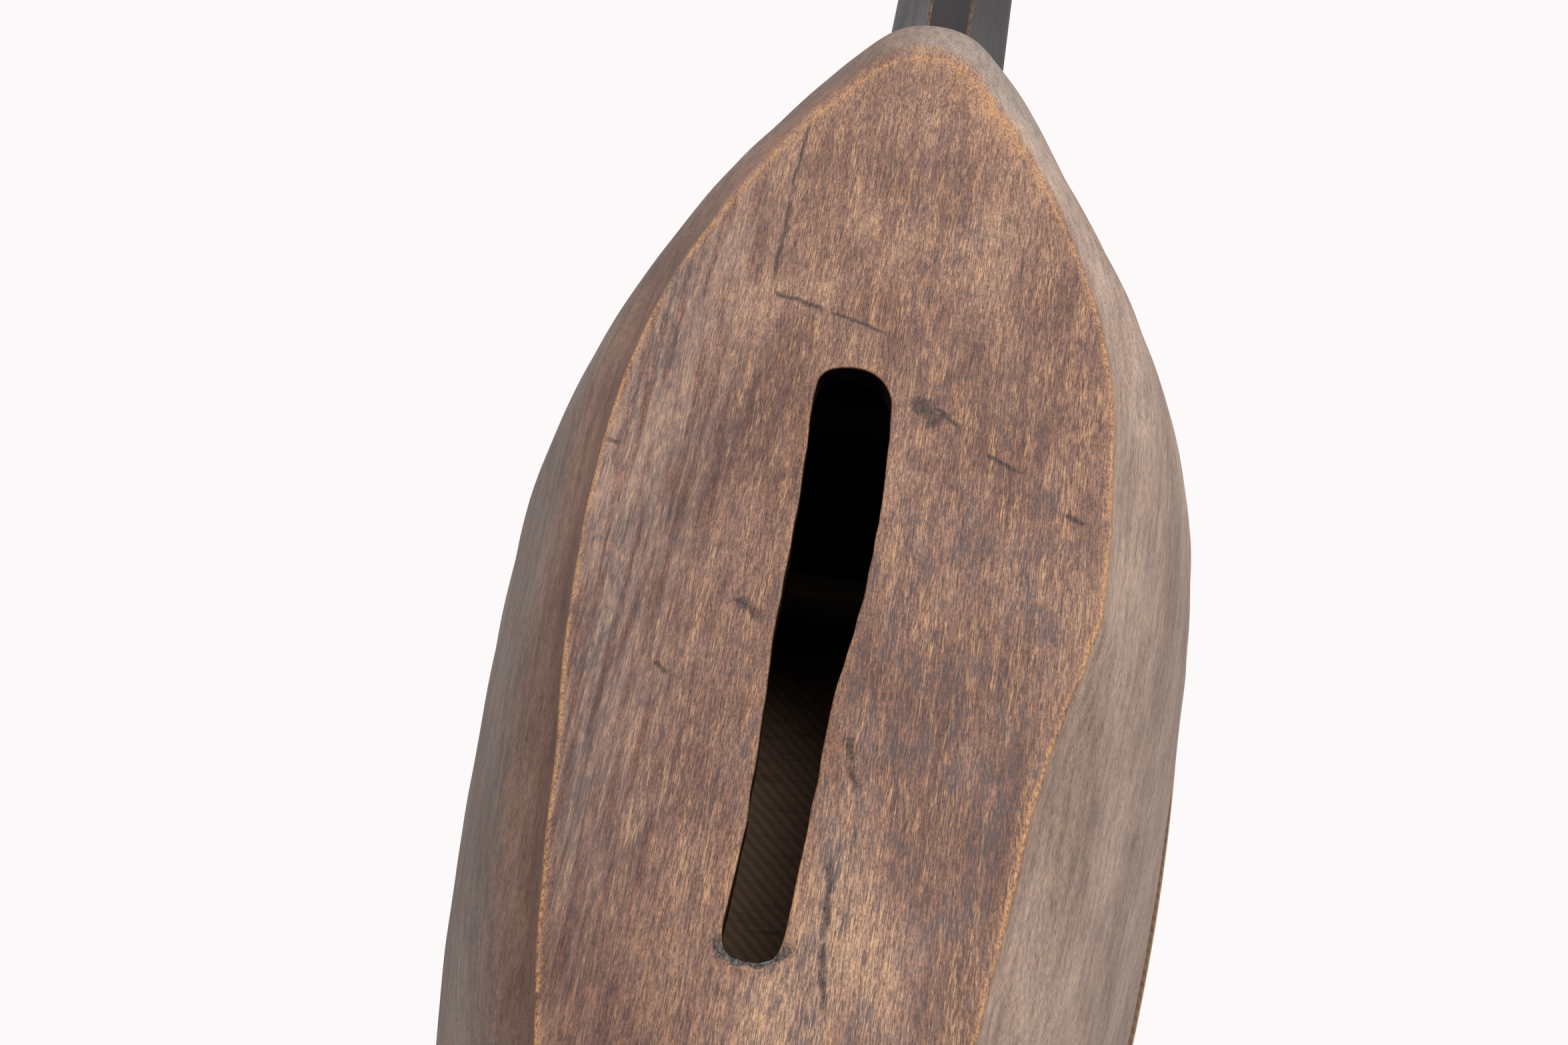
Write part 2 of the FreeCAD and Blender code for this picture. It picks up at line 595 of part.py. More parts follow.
def make_fret(number):
    """One fret: a low crown that bears on the fingerboard, and a tang in its slot."""
    body = new_body("fret_%02d" % number)
    z = fret_z(number)
    width = "%s - 2 * Sizes.fret_inset" % finger_width(z)
    sketch = new_sketch(body, "section", "YZ_Plane")
    foot = FINGER_FACE
    tang = "Sizes.fret_tang_thick / 2"

    def crown(sign, wide, high):
        """A point of the crown: shares of its half width, to one side, and of its height."""
        across = "Sizes.fret_width / 2 * %s" % wide
        return ("%s - Sizes.fret_height * %s" % (foot, high), "%s %s %s" % (z, sign, across))

    crest = [crown("-", *share) for share in FRET_CROWN]
    crest += [crown("+", *share) for share in reversed(FRET_CROWN)]
    polygon(sketch, crest + [
        (foot, "%s + %s" % (z, tang)),
        ("%s + Sizes.fret_tang" % foot, "%s + %s" % (z, tang)),
        ("%s + Sizes.fret_tang" % foot, "%s - %s" % (z, tang)),
        (foot, "%s - %s" % (z, tang)),
    ])
    extrude(body, "Pad", "wire", sketch, width, middle=True)
    return body


# ---------------------------------------------------------------- nut, bridge, saddles and pins

def string_notches(body, name, y_face, spacing, z_level, length, into):
    """Three square notches across a crest, each a clearance wider than its string."""
    sketch = new_sketch(body, name, "XY_Plane", z_level)
    half = "(Sizes.string_radius + Sizes.string_clearance)"
    for side in (-1, 0, 1):
        x = "%d * Sizes.%s" % (side, spacing)
        rectangle(sketch, "%s - %s" % (x, half), "%s + %s" % (x, half),
                  "%s - %s" % (y_face, PAST), "%s + %s" % (y_face, into))
    return extrude(body, "Pocket", name + "_cut", sketch, length, middle=True)


NUT_CREST = "(%s - Sizes.nut_rise)" % FINGER_FACE
SADDLE_CREST = "(%s - Sizes.bridge_height - Sizes.saddle_height)" % DECK
TAIL_CREST = "(%s - Sizes.tail_saddle_rise)" % DECK


def make_nut():
    body = new_body("nut")
    sketch = new_sketch(body, "section", "YZ_Plane")
    top = "(%s + Sizes.nut_thick)" % NUT_Z
    polygon(sketch, [
        (DECK, NUT_Z),
        (NUT_CREST, NUT_Z),
        (NUT_CREST, "%s + Sizes.nut_land" % NUT_Z),
        ("%s + Sizes.nut_rise" % NUT_CREST, top),
        (DECK, top),
    ])
    extrude(body, "Pad", "bar", sketch, "Sizes.finger_top_width", middle=True)
    string_notches(body, "notches", NUT_CREST, "nut_spacing", NUT_Z, "Sizes.nut_thick * 3",
                   "Sizes.notch_depth")
    return body


def make_bridge():
    """The bridge stands on two feet, with a shallow arch between them and sloping shoulders."""
    body = new_body("bridge")
    sketch = new_sketch(body, "outline", "XY_Plane", BRIDGE_Z)
    end = "Sizes.bridge_length / 2"
    inner = "(Sizes.bridge_length / 2 - Sizes.bridge_foot)"
    crest = "(%s - Sizes.bridge_height)" % DECK
    arch = "(%s - Sizes.bridge_arch)" % DECK
    top = "(Sizes.saddle_length / 2 + Sizes.bridge_land)"
    step = "(%s - Sizes.bridge_step)" % end
    slope = "(%s - Sizes.bridge_arch_slope)" % inner
    end_height = "%s - Sizes.bridge_end_height" % DECK
    step_height = "%s - Sizes.bridge_step_height" % DECK
    polygon(sketch, [
        (end, DECK),
        (end, end_height),
        (step, step_height),
        (top, crest),
        ("-" + top, crest),
        ("-" + step, step_height),
        ("-" + end, end_height),
        ("-" + end, DECK),
        ("-" + inner, DECK),
        ("-" + slope, arch),
        (slope, arch),
        (inner, DECK),
    ])
    extrude(body, "Pad", "arch", sketch, "Sizes.bridge_thick", middle=True)
    return body


def make_bridge_saddle():
    body = new_body("bridge_saddle")
    sketch = new_sketch(body, "section", "YZ_Plane")
    seat = "(%s - Sizes.bridge_height)" % DECK
    half = "Sizes.saddle_thick / 2"
    land = "Sizes.saddle_land / 2"
    eased = "%s + Sizes.saddle_ease" % SADDLE_CREST
    polygon(sketch, [
        (seat, "%s - %s" % (BRIDGE_Z, half)),
        (eased, "%s - %s" % (BRIDGE_Z, half)),
        (SADDLE_CREST, "%s - %s" % (BRIDGE_Z, land)),
        (SADDLE_CREST, "%s + %s" % (BRIDGE_Z, land)),
        (eased, "%s + %s" % (BRIDGE_Z, half)),
        (seat, "%s + %s" % (BRIDGE_Z, half)),
    ])
    extrude(body, "Pad", "strip", sketch, "Sizes.saddle_length", middle=True)
    string_notches(body, "notches", SADDLE_CREST, "bridge_spacing", BRIDGE_Z, "Sizes.saddle_thick * 3",
                   "Sizes.notch_depth")
    return body


def make_tail_saddle():
    """The saddle is let into the tail edge, and its outer corner is eased for the strings."""
    body = new_body("tail_saddle")
    sketch = new_sketch(body, "section", "YZ_Plane")
    low = "(Sizes.tail_level - Sizes.tail_saddle_stand)"
    high = "(%s + Sizes.tail_saddle_thick)" % low
    back = "(Sizes.glue_plane + Sizes.tail_saddle_sink)"
    polygon(sketch, [
        (back, low),
        ("%s + Sizes.tail_saddle_ease" % TAIL_CREST, low),
        (TAIL_CREST, "%s + Sizes.tail_saddle_ease" % low),
        (TAIL_CREST, "%s - Sizes.tail_saddle_chamfer" % high),
        ("%s + Sizes.tail_saddle_chamfer" % TAIL_CREST, high),
        (back, high),
    ])
    extrude(body, "Pad", "block", sketch, "Sizes.saddle_length", middle=True)
    return body


def make_pins():
    """The three string pins, one node: a shank in the tail and a flat head that keeps the loop on."""
    pins = []
    for side in (-1, 0, 1):
        shank = doc.addObject("Part::Cylinder", "pin_shank_%d" % (side + 2))
        shank.setExpression("Radius", "Sizes.pin_radius")
        shank.setExpression("Height", "Sizes.tail_level + Sizes.pin_grip")
        head = doc.addObject("Part::Cylinder", "pin_head_%d" % (side + 2))
        head.setExpression("Radius", "Sizes.pin_head_radius")
        head.setExpression("Height", "Sizes.pin_head_thick")
        for piece in (shank, head):
            piece.setExpression("Placement.Base.x", "%d * Sizes.bridge_spacing" % side)
            piece.setExpression("Placement.Base.y", "Sizes.glue_plane + Sizes.pin_inset")
        pin = doc.addObject("Part::Fuse", "pin_%d" % (side + 2))
        pin.Base = shank
        pin.Tool = head
        pins.append(pin)
    group = doc.addObject("Part::Compound", "string_pins")
    group.Label = "string_pins"
    group.Links = pins
    return group


# ---------------------------------------------------------------- head, veneer and pegs

PEG_PLACES = [
    ("1", "-Sizes.side_peg_shift", "Sizes.side_peg_level", "Sizes.nut_spacing * -1", -1),
    ("2", "0", "Sizes.top_peg_level", "0", 1),
    ("3", "Sizes.side_peg_shift", "Sizes.side_peg_level", "Sizes.nut_spacing", 1),
]


def head_outline(start):
    """A head that flares from the throat, with cut-in shoulders and a rounded crown.

    Drawn up the head from this height above the throat, right side first.
    """
    shoulder = size("head_shoulder")
    cut_in = size("head_half_width") - size("head_crown_half_width")
    foot = Vector(size("finger_top_width") / 2, start, 0)
    bend = Vector(size("head_bend_half_width"), size("head_bend_level"), 0)
    corner = Vector(size("head_half_width"), shoulder, 0)
    notch = Vector(size("head_crown_half_width"), shoulder + cut_in, 0)
    crown = Vector(0, size("head_length"), 0)

    def mirrored(point):
        return Vector(-point.x, point.y, 0)

    # The cut-in shoulder is a hollow quarter circle; this is its middle.
    quarter = cut_in * (1 - math.cos(math.pi / 4))
    hollow = Vector(notch.x + quarter, corner.y + quarter, 0)
    return [
        Part.LineSegment(mirrored(foot), foot),
        Part.Arc(foot, bend, corner),
        Part.Arc(corner, hollow, notch),
        Part.Arc(notch, crown, mirrored(notch)),
        Part.Arc(mirrored(notch), mirrored(hollow), mirrored(corner)),
        Part.Arc(mirrored(corner), mirrored(bend), mirrored(foot)),
    ]


def drill_pegs(body, front, depth):
    """Three peg holes, drilled backwards from this Y of the head's own frame."""
    sketch = new_sketch(body, "peg_holes_outline", "XZ_Plane", "-(%s)" % front)
    for _, x, z, _, _ in PEG_PLACES:
        circle(sketch, x, z, "Sizes.peg_radius + Sizes.peg_clearance")
    extrude(body, "Pocket", "peg_holes", sketch, depth)


def make_head():
    """The head, in its own tilted frame: its front face passes through the frame's origin."""
    body = new_body("head")
    sketch = new_sketch(body, "outline", "XZ_Plane", "0")
    sketch.addGeometry(head_outline(0.0), False)
    extrude(body, "Pad", "plate", sketch, "Sizes.head_thick", reverse=True)
    throat = new_sketch(body, "throat_section", "XY_Plane", "0")
    neck_section(throat, "Sizes.finger_top_width", "Sizes.neck_side", "Sizes.nut_depth", "Sizes.neck_flat")
    blend_end = new_sketch(body, "blend_section", "XY_Plane", "Sizes.throat_blend")
    neck_section(blend_end, "Sizes.finger_top_width", "Sizes.neck_side",
                 "(Sizes.head_thick - Sizes.blend_step)", "Sizes.neck_flat")
    loft(body, "AdditiveLoft", "throat_blend", [throat, blend_end], ruled=True)
    # Below the plate's own corners the throat keeps the neck's facets.
    cut = new_sketch(body, "facet_cut", "XY_Plane", "0")
    half = "(Sizes.finger_top_width / 2)"
    past_half = "(%s + %s)" % (half, PAST)
    past_depth = "Sizes.nut_depth + %s" % PAST
    flat = "(Sizes.neck_flat / 2)"
    for sign in ("", "-"):
        polygon(cut, [
            (sign + half, "Sizes.neck_side"),
            (sign + past_half, "Sizes.neck_side"),
            (sign + past_half, past_depth),
            (sign + flat, past_depth),
            (sign + flat, "Sizes.nut_depth"),
        ])
    extrude(body, "Pocket", "throat_facet_cut", cut, "Sizes.throat_facets", reverse=True)
    drill_pegs(body, "-" + PAST, "Sizes.head_thick + 2 * " + PAST)
    body.Placement = HEAD_FRAME
    return body


def make_head_veneer():
    body = new_body("head_veneer")
    sketch = new_sketch(body, "outline", "XZ_Plane", "0")
    sketch.addGeometry(head_outline(size("veneer_start")), False)
    extrude(body, "Pad", "sheet", sketch, "Sizes.veneer_thick")
    drill_pegs(body, "-(Sizes.veneer_thick + %s)" % PAST, "Sizes.veneer_thick + 2 * " + PAST)
    body.Placement = HEAD_FRAME
    return body


def make_peg(name, x, z):
    """A peg about its own Y axis: tip, shank, collar and stem turned in one, and a flat thumb piece."""
    body = new_body("peg_" + name)
    sketch = new_sketch(body, "turned_outline", "YZ_Plane")
    front = "-(Sizes.veneer_thick + Sizes.peg_tip)"
    step = "-(Sizes.veneer_thick + Sizes.peg_step)"
    back = "(Sizes.head_thick + Sizes.joint_clearance)"
    collar = "(%s + Sizes.peg_collar_thick)" % back
    stem = "(%s + Sizes.peg_stem)" % collar
    stem_end = "(%s + Sizes.peg_stem_end)" % stem
    polygon(sketch, [
        (front, "0"),
        (front, "Sizes.peg_tip_radius - Sizes.peg_ease"),
        (front + " + Sizes.peg_ease", "Sizes.peg_tip_radius"),
        (step, "Sizes.peg_tip_radius"),
        (step, "Sizes.peg_radius"),
        (back, "Sizes.peg_radius"),
        (back, "Sizes.peg_collar_radius - Sizes.peg_ease"),
        ("%s + Sizes.peg_collar_thick / 2" % back, "Sizes.peg_collar_radius"),
        (collar, "Sizes.peg_collar_radius - 2 * Sizes.peg_ease"),
        (collar, "Sizes.peg_stem_radius"),
        (stem, "Sizes.peg_stem_radius"),
        (stem_end, "Sizes.thumb_thick / 2 - Sizes.peg_ease"),
        (stem_end, "0"),
    ])
    turned = body.newObject("PartDesign::Revolution", "turned")
    turned.Profile = sketch
    turned.ReferenceAxis = (sketch, ["H_Axis"])
    turned.Angle = 360.0

    # The thumb piece is a rounded fan, thickest along its middle.
    thumb = new_sketch(body, "thumb_outline", "XY_Plane", "0")

    def fan(sign, wide, high):
        """A point of the fan: shares of its half width, to one side, and of its height."""
        level = "%s + Sizes.thumb_height * %s" % (stem, high)
        return ("%sSizes.thumb_half_width * %s" % (sign, wide), level)

    right = [fan("", *share) for share in THUMB_FAN]
    left = [fan("-", *share) for share in reversed(THUMB_FAN)]
    polygon(thumb, right + left)
    extrude(body, "Pad", "thumb", thumb, "Sizes.thumb_thick", middle=True)
    body.Placement = HEAD_FRAME * Placement(Vector(worked(x), 0, worked(z)), Rotation())
    return body


# ---------------------------------------------------------------- strings

def rounded_path(points, radius):
    """Straight runs through the points, joined by tangent arcs of this radius."""
    edges = []
    here = points[0]
    for before, corner, after in zip(points, points[1:], points[2:]):
        into = (corner - before).normalize()
        out = (after - corner).normalize()
        turn = into.getAngle(out)
        reach = radius * math.tan(turn / 2)
        start = corner - into * reach
        end = corner + out * reach
        middle_way = (out - into).normalize()
        centre_gap = radius / math.cos(turn / 2)
        middle = corner + middle_way * (centre_gap - radius)
        edges.append(Part.LineSegment(here, start).toShape())
        edges.append(Part.Arc(start, middle, end).toShape())
        here = end
    edges.append(Part.LineSegment(here, points[-1]).toShape())
    return Part.Wire(edges)


def make_string(name, peg_x, peg_z, nut_x, wrap_side):
    """One string: a loop round its pin, a tight run over both saddles and the nut, a winding on its peg."""
    radius = size("string_radius")
    clear = size("string_clearance")
    side = {"1": -1, "2": 0, "3": 1}[name]
    x_bridge = side * size("bridge_spacing")
    bear = radius + clear
    low = size("tail_level") - size("tail_saddle_stand")
    pin_y = size("glue_plane") + size("pin_inset")
    loop_z = (size("pin_head_thick") + low) / 2
    winding_y = -(size("veneer_thick") + size("winding_place") + size("winding_height") / 2)
    winding_radius = size("peg_tip_radius") + size("winding_clearance")
    wrap_x = worked(peg_x) + wrap_side * (winding_radius + radius)
    nut_y = worked(NUT_CREST) + size("notch_depth") - bear
    saddle_y = worked(SADDLE_CREST) + size("notch_depth") - bear
    tail_y = worked(TAIL_CREST) - bear
    points = [
        Vector(x_bridge, pin_y - size("pin_radius") - bear, loop_z),
        Vector(x_bridge, worked(TAIL_CREST) + size("tail_saddle_ease"), low - bear),
        Vector(x_bridge, tail_y, low + size("tail_saddle_ease") - bear),
        Vector(x_bridge, saddle_y, worked(BRIDGE_Z)),
        Vector(worked(nut_x), nut_y, worked(NUT_Z) + size("nut_kink")),
        HEAD_FRAME.multVec(Vector(wrap_x, winding_y, worked(peg_z))),
    ]
    path = rounded_path(points, 2 * radius)
    start = path.Edges[0]
    run = Part.Wire([Part.makeCircle(radius, points[0], start.tangentAt(start.FirstParameter))])
    tube = path.makePipe(Part.Face(run))
    loop = sleeve(size("pin_radius") + clear, 2 * radius, 2 * radius)
    loop.Placement = Placement(Vector(x_bridge, pin_y, loop_z - radius), Rotation())
    winding = sleeve(winding_radius, 2 * radius, size("winding_height"))
    turn = Rotation(Vector(1, 0, 0), -90)
    middle = Vector(worked(peg_x), winding_y - size("winding_height") / 2, worked(peg_z))
    winding.Placement = HEAD_FRAME * Placement(middle, turn)
    string = doc.addObject("Part::Feature", "string_" + name)
    string.Label = "string_" + name
    string.Shape = tube.fuse([loop, winding]).removeSplitter()
    return string


def sleeve(inner_radius, thick, height):
    """A ring about Z, standing on z = 0."""
    return Part.makeCylinder(inner_radius + thick, height).cut(Part.makeCylinder(inner_radius, height))


# ---------------------------------------------------------------- assemble, check and write

pieces = [make_bowl(), make_soundboard()]
for brace_name in ("brace_upper", "brace_middle", "brace_lower"):
    pieces.append(make_brace(brace_name))
pieces += [make_neck(), make_fingerboard(), make_dots(), make_nut()]
for fret_number in range(1, FRETS + 1):
    pieces.append(make_fret(fret_number))
pieces += [make_bridge(), make_bridge_saddle(), make_tail_saddle(), make_pins()]
pieces += [make_head(), make_head_veneer()]
for peg_name, peg_x, peg_z, nut_x, wrap_side in PEG_PLACES:
    pieces.append(make_peg(peg_name, peg_x, peg_z))
    pieces.append(make_string(peg_name, peg_x, peg_z, nut_x, wrap_side))

doc.recompute()

for obj in doc.Objects:
    if "Invalid" in obj.State or "Error" in obj.State:
        raise RuntimeError("%s could not be built: %s" % (obj.Name, obj.State))
for piece in pieces:
    if piece.Shape.isNull() or not piece.Shape.isValid():
        raise RuntimeError("%s has no valid shape" % piece.Label)

os.makedirs("parts", exist_ok=True)
for piece in pieces:
    piece.Shape.exportStep(os.path.join("parts", piece.Label + ".step"))
    box = piece.Shape.BoundBox
    print("%-16s solids %d  volume %10.1f  x %.1f..%.1f  y %.1f..%.1f  z %.1f..%.1f" % (
        piece.Label, len(piece.Shape.Solids), piece.Shape.Volume,
        box.XMin, box.XMax, box.YMin, box.YMax, box.ZMin, box.ZMax))
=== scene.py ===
# %% [markdown]
# # A dug-out balalaika
#
# The bowl of this three-string lute is carved from one block. Its keel is a flat, leaf-shaped face
# with a long slot in it, and it has been oiled, stained and handled for many years. The neck is
# black lacquer over hardwood. The mechanical model holds every piece at its real size and place;
# this file gives the pieces their carved and worn shapes, and their finishes.


# %% Load the frame
import bpy
import bmesh
import json
import math
from contextlib import contextmanager
from mathutils import Matrix, Vector, noise
from mathutils.kdtree import KDTree


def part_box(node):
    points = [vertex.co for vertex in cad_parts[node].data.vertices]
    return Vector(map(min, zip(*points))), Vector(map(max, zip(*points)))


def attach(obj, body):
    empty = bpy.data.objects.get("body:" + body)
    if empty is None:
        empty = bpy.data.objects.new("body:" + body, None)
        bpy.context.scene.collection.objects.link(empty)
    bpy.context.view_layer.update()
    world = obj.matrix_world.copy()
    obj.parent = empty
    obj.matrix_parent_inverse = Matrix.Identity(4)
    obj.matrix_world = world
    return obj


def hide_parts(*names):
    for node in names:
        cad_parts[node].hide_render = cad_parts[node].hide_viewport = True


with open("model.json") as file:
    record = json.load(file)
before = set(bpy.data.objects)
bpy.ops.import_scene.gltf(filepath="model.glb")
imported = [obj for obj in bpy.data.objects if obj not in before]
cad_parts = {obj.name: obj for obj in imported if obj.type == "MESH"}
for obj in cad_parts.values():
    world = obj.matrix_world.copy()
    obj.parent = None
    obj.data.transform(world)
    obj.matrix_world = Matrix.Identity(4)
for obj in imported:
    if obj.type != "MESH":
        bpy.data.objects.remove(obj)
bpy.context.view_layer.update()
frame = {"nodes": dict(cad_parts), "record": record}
MM = 0.001
BODY = "instrument"


# %% [markdown]
# Every finish here is a node tree. Wood needs the same few steps again and again: noise stretched
# along the grain, a ramp that turns the noise into colours, and a mix that lays one colour over
# another. Small helpers keep each finish short enough to read. They all work on Object coordinates,
# so the pattern is as large as on the real thing and stays put when a piece moves.


# %% Helpers for node trees
def new_material(name, roughness=0.5, metallic=0.0, specular=0.5, coat=0.0, coat_roughness=0.1):
    """A material with one Principled shader; its plain numbers sit on the shader's own sockets."""
    made = bpy.data.materials.new(name)
    made.use_nodes = True
    tree = made.node_tree
    shader = tree.nodes["Principled BSDF"]
    shader.inputs["Roughness"].default_value = roughness
    shader.inputs["Metallic"].default_value = metallic
    shader.inputs["Specular IOR Level"].default_value = specular
    shader.inputs["Coat Weight"].default_value = coat
    shader.inputs["Coat Roughness"].default_value = coat_roughness
    return made, tree, shader


def put(tree, socket, value):
    """Sets a socket to a number or colour, or links it to another node's output."""
    if isinstance(value, bpy.types.NodeSocket):
        tree.links.new(value, socket)
    else:
        socket.default_value = value


def object_place(tree, scale=(1, 1, 1), turn=(0, 0, 0), shift=(0, 0, 0)):
    """Object coordinates, moved, turned and stretched."""
    where = tree.nodes.new("ShaderNodeTexCoord")
    mapping = tree.nodes.new("ShaderNodeMapping")
    mapping.inputs["Location"].default_value = shift
    mapping.inputs["Rotation"].default_value = turn
    mapping.inputs["Scale"].default_value = scale
    tree.links.new(where.outputs["Object"], mapping.inputs["Vector"])
    return mapping.outputs["Vector"]


def cloud(tree, scale, detail=4.0, roughness=0.55, distortion=0.0, shift=(0, 0, 0)):
    """Noise on Object coordinates; scale is features per metre along X, Y and Z."""
    made = tree.nodes.new("ShaderNodeTexNoise")
    made.inputs["Scale"].default_value = 1.0
    made.inputs["Detail"].default_value = detail
    made.inputs["Roughness"].default_value = roughness
    made.inputs["Distortion"].default_value = distortion
    tree.links.new(object_place(tree, scale, shift=shift), made.inputs["Vector"])
    return made.outputs["Fac"]


def ramp(tree, factor, *stops):
    """Turns a number into colours; each stop is a place and an (r, g, b)."""
    made = tree.nodes.new("ShaderNodeValToRGB")
    band = made.color_ramp
    while len(band.elements) < len(stops):
        band.elements.new(0.5)
    for element, (place, colour) in zip(band.elements, stops):
        element.position = place
        element.color = (*colour, 1.0)
    put(tree, made.inputs["Fac"], factor)
    return made.outputs["Color"]


def window(tree, factor, low, high):
    """0 below one number, 1 above another, smooth between; swapping them turns it round."""
    made = tree.nodes.new("ShaderNodeMapRange")
    made.interpolation_type = "SMOOTHSTEP"
    put(tree, made.inputs["Value"], factor)
    made.inputs["From Min"].default_value = min(low, high)
    made.inputs["From Max"].default_value = max(low, high)
    made.inputs["To Min"].default_value = 0.0 if low < high else 1.0
    made.inputs["To Max"].default_value = 1.0 if low < high else 0.0
    return made.outputs["Result"]


def sums(tree, operation, first, second=0.0):
    """One step of arithmetic."""
    made = tree.nodes.new("ShaderNodeMath")
    made.operation = operation
    put(tree, made.inputs[0], first)
    put(tree, made.inputs[1], second)
    return made.outputs["Value"]


def times(tree, first, second):
    """Two masks multiplied: on only where both are."""
    return sums(tree, "MULTIPLY", first, second)


def flipped(tree, mask):
    """A mask turned round: 1 where it is 0."""
    return sums(tree, "SUBTRACT", 1.0, mask)


def greys(tree, factor, first, second, places=(0.3, 0.7)):
    """A ramp between two grey levels, as a roughness needs."""
    return ramp(tree, factor, *((place, (level,) * 3) for place, level in zip(places, (first, second))))


def lay(tree, under, over, factor, blend="MIX"):
    """Lays one colour over another."""
    made = tree.nodes.new("ShaderNodeMix")
    made.data_type = "RGBA"
    made.blend_type = blend
    put(tree, made.inputs["Factor"], factor)
    for socket, value in ((made.inputs[6], under), (made.inputs[7], over)):
        put(tree, socket, value if isinstance(value, bpy.types.NodeSocket) else (*value, 1.0))
    return made.outputs[2]


def painted(tree, name):
    """A number painted on the mesh's points."""
    made = tree.nodes.new("ShaderNodeAttribute")
    made.attribute_name = name
    return made.outputs["Fac"]


def across(tree, axis):
    """One Object coordinate, in metres."""
    split = tree.nodes.new("ShaderNodeSeparateXYZ")
    tree.links.new(object_place(tree), split.inputs["Vector"])
    return split.outputs[axis]


def relief(tree, shader, height, distance, strength=1.0, under=None):
    """Bump from a height, with its real depth in metres."""
    made = tree.nodes.new("ShaderNodeBump")
    made.inputs["Strength"].default_value = strength
    made.inputs["Distance"].default_value = distance
    put(tree, made.inputs["Height"], height)
    if under is not None:
        tree.links.new(under, made.inputs["Normal"])
    tree.links.new(made.outputs["Normal"], shader.inputs["Normal"])
    return made.outputs["Normal"]


def scratch(tree, start, end, width):
    """A mask that is 1 along a short line on the keel, from one (x, z) to another, with ragged edges."""
    run = Vector((end[0] - start[0], end[1] - start[1]))
    angle = math.atan2(run.y, run.x)
    place = object_place(tree, shift=(-start[0], 0, -start[1]))
    turn = tree.nodes.new("ShaderNodeVectorRotate")
    turn.rotation_type = "Y_AXIS"
    turn.inputs["Angle"].default_value = angle
    tree.links.new(place, turn.inputs["Vector"])
    split = tree.nodes.new("ShaderNodeSeparateXYZ")
    tree.links.new(turn.outputs["Vector"], split.inputs["Vector"])
    wander = times(tree, sums(tree, "SUBTRACT", cloud(tree, (160, 160, 160), 4.0), 0.5), width * 4)
    off = sums(tree, "ABSOLUTE", sums(tree, "ADD", split.outputs["Z"], wander))
    along = window(tree, split.outputs["X"], 0.0, run.length * 0.15)
    ended = window(tree, split.outputs["X"], run.length, run.length * 0.7)
    line = window(tree, off, width * 1.5, 0.0)
    return times(tree, line, times(tree, along, ended))


# %% [markdown]
# The bowl's finish is what a viewer sees first. On the real bowl the keel face is reddish brown where
# the oil went in, tan where it has rubbed thin, and blotched blue-black where a dark stain was wiped
# on; all of it is drawn out along the grain. The side walls are greyer. The sharp edge around the
# keel has worn back to bare golden wood. Three numbers painted on the mesh say where each of these
# is: `wear` along the edges, `side` on the walls and `inside` in the hollow.


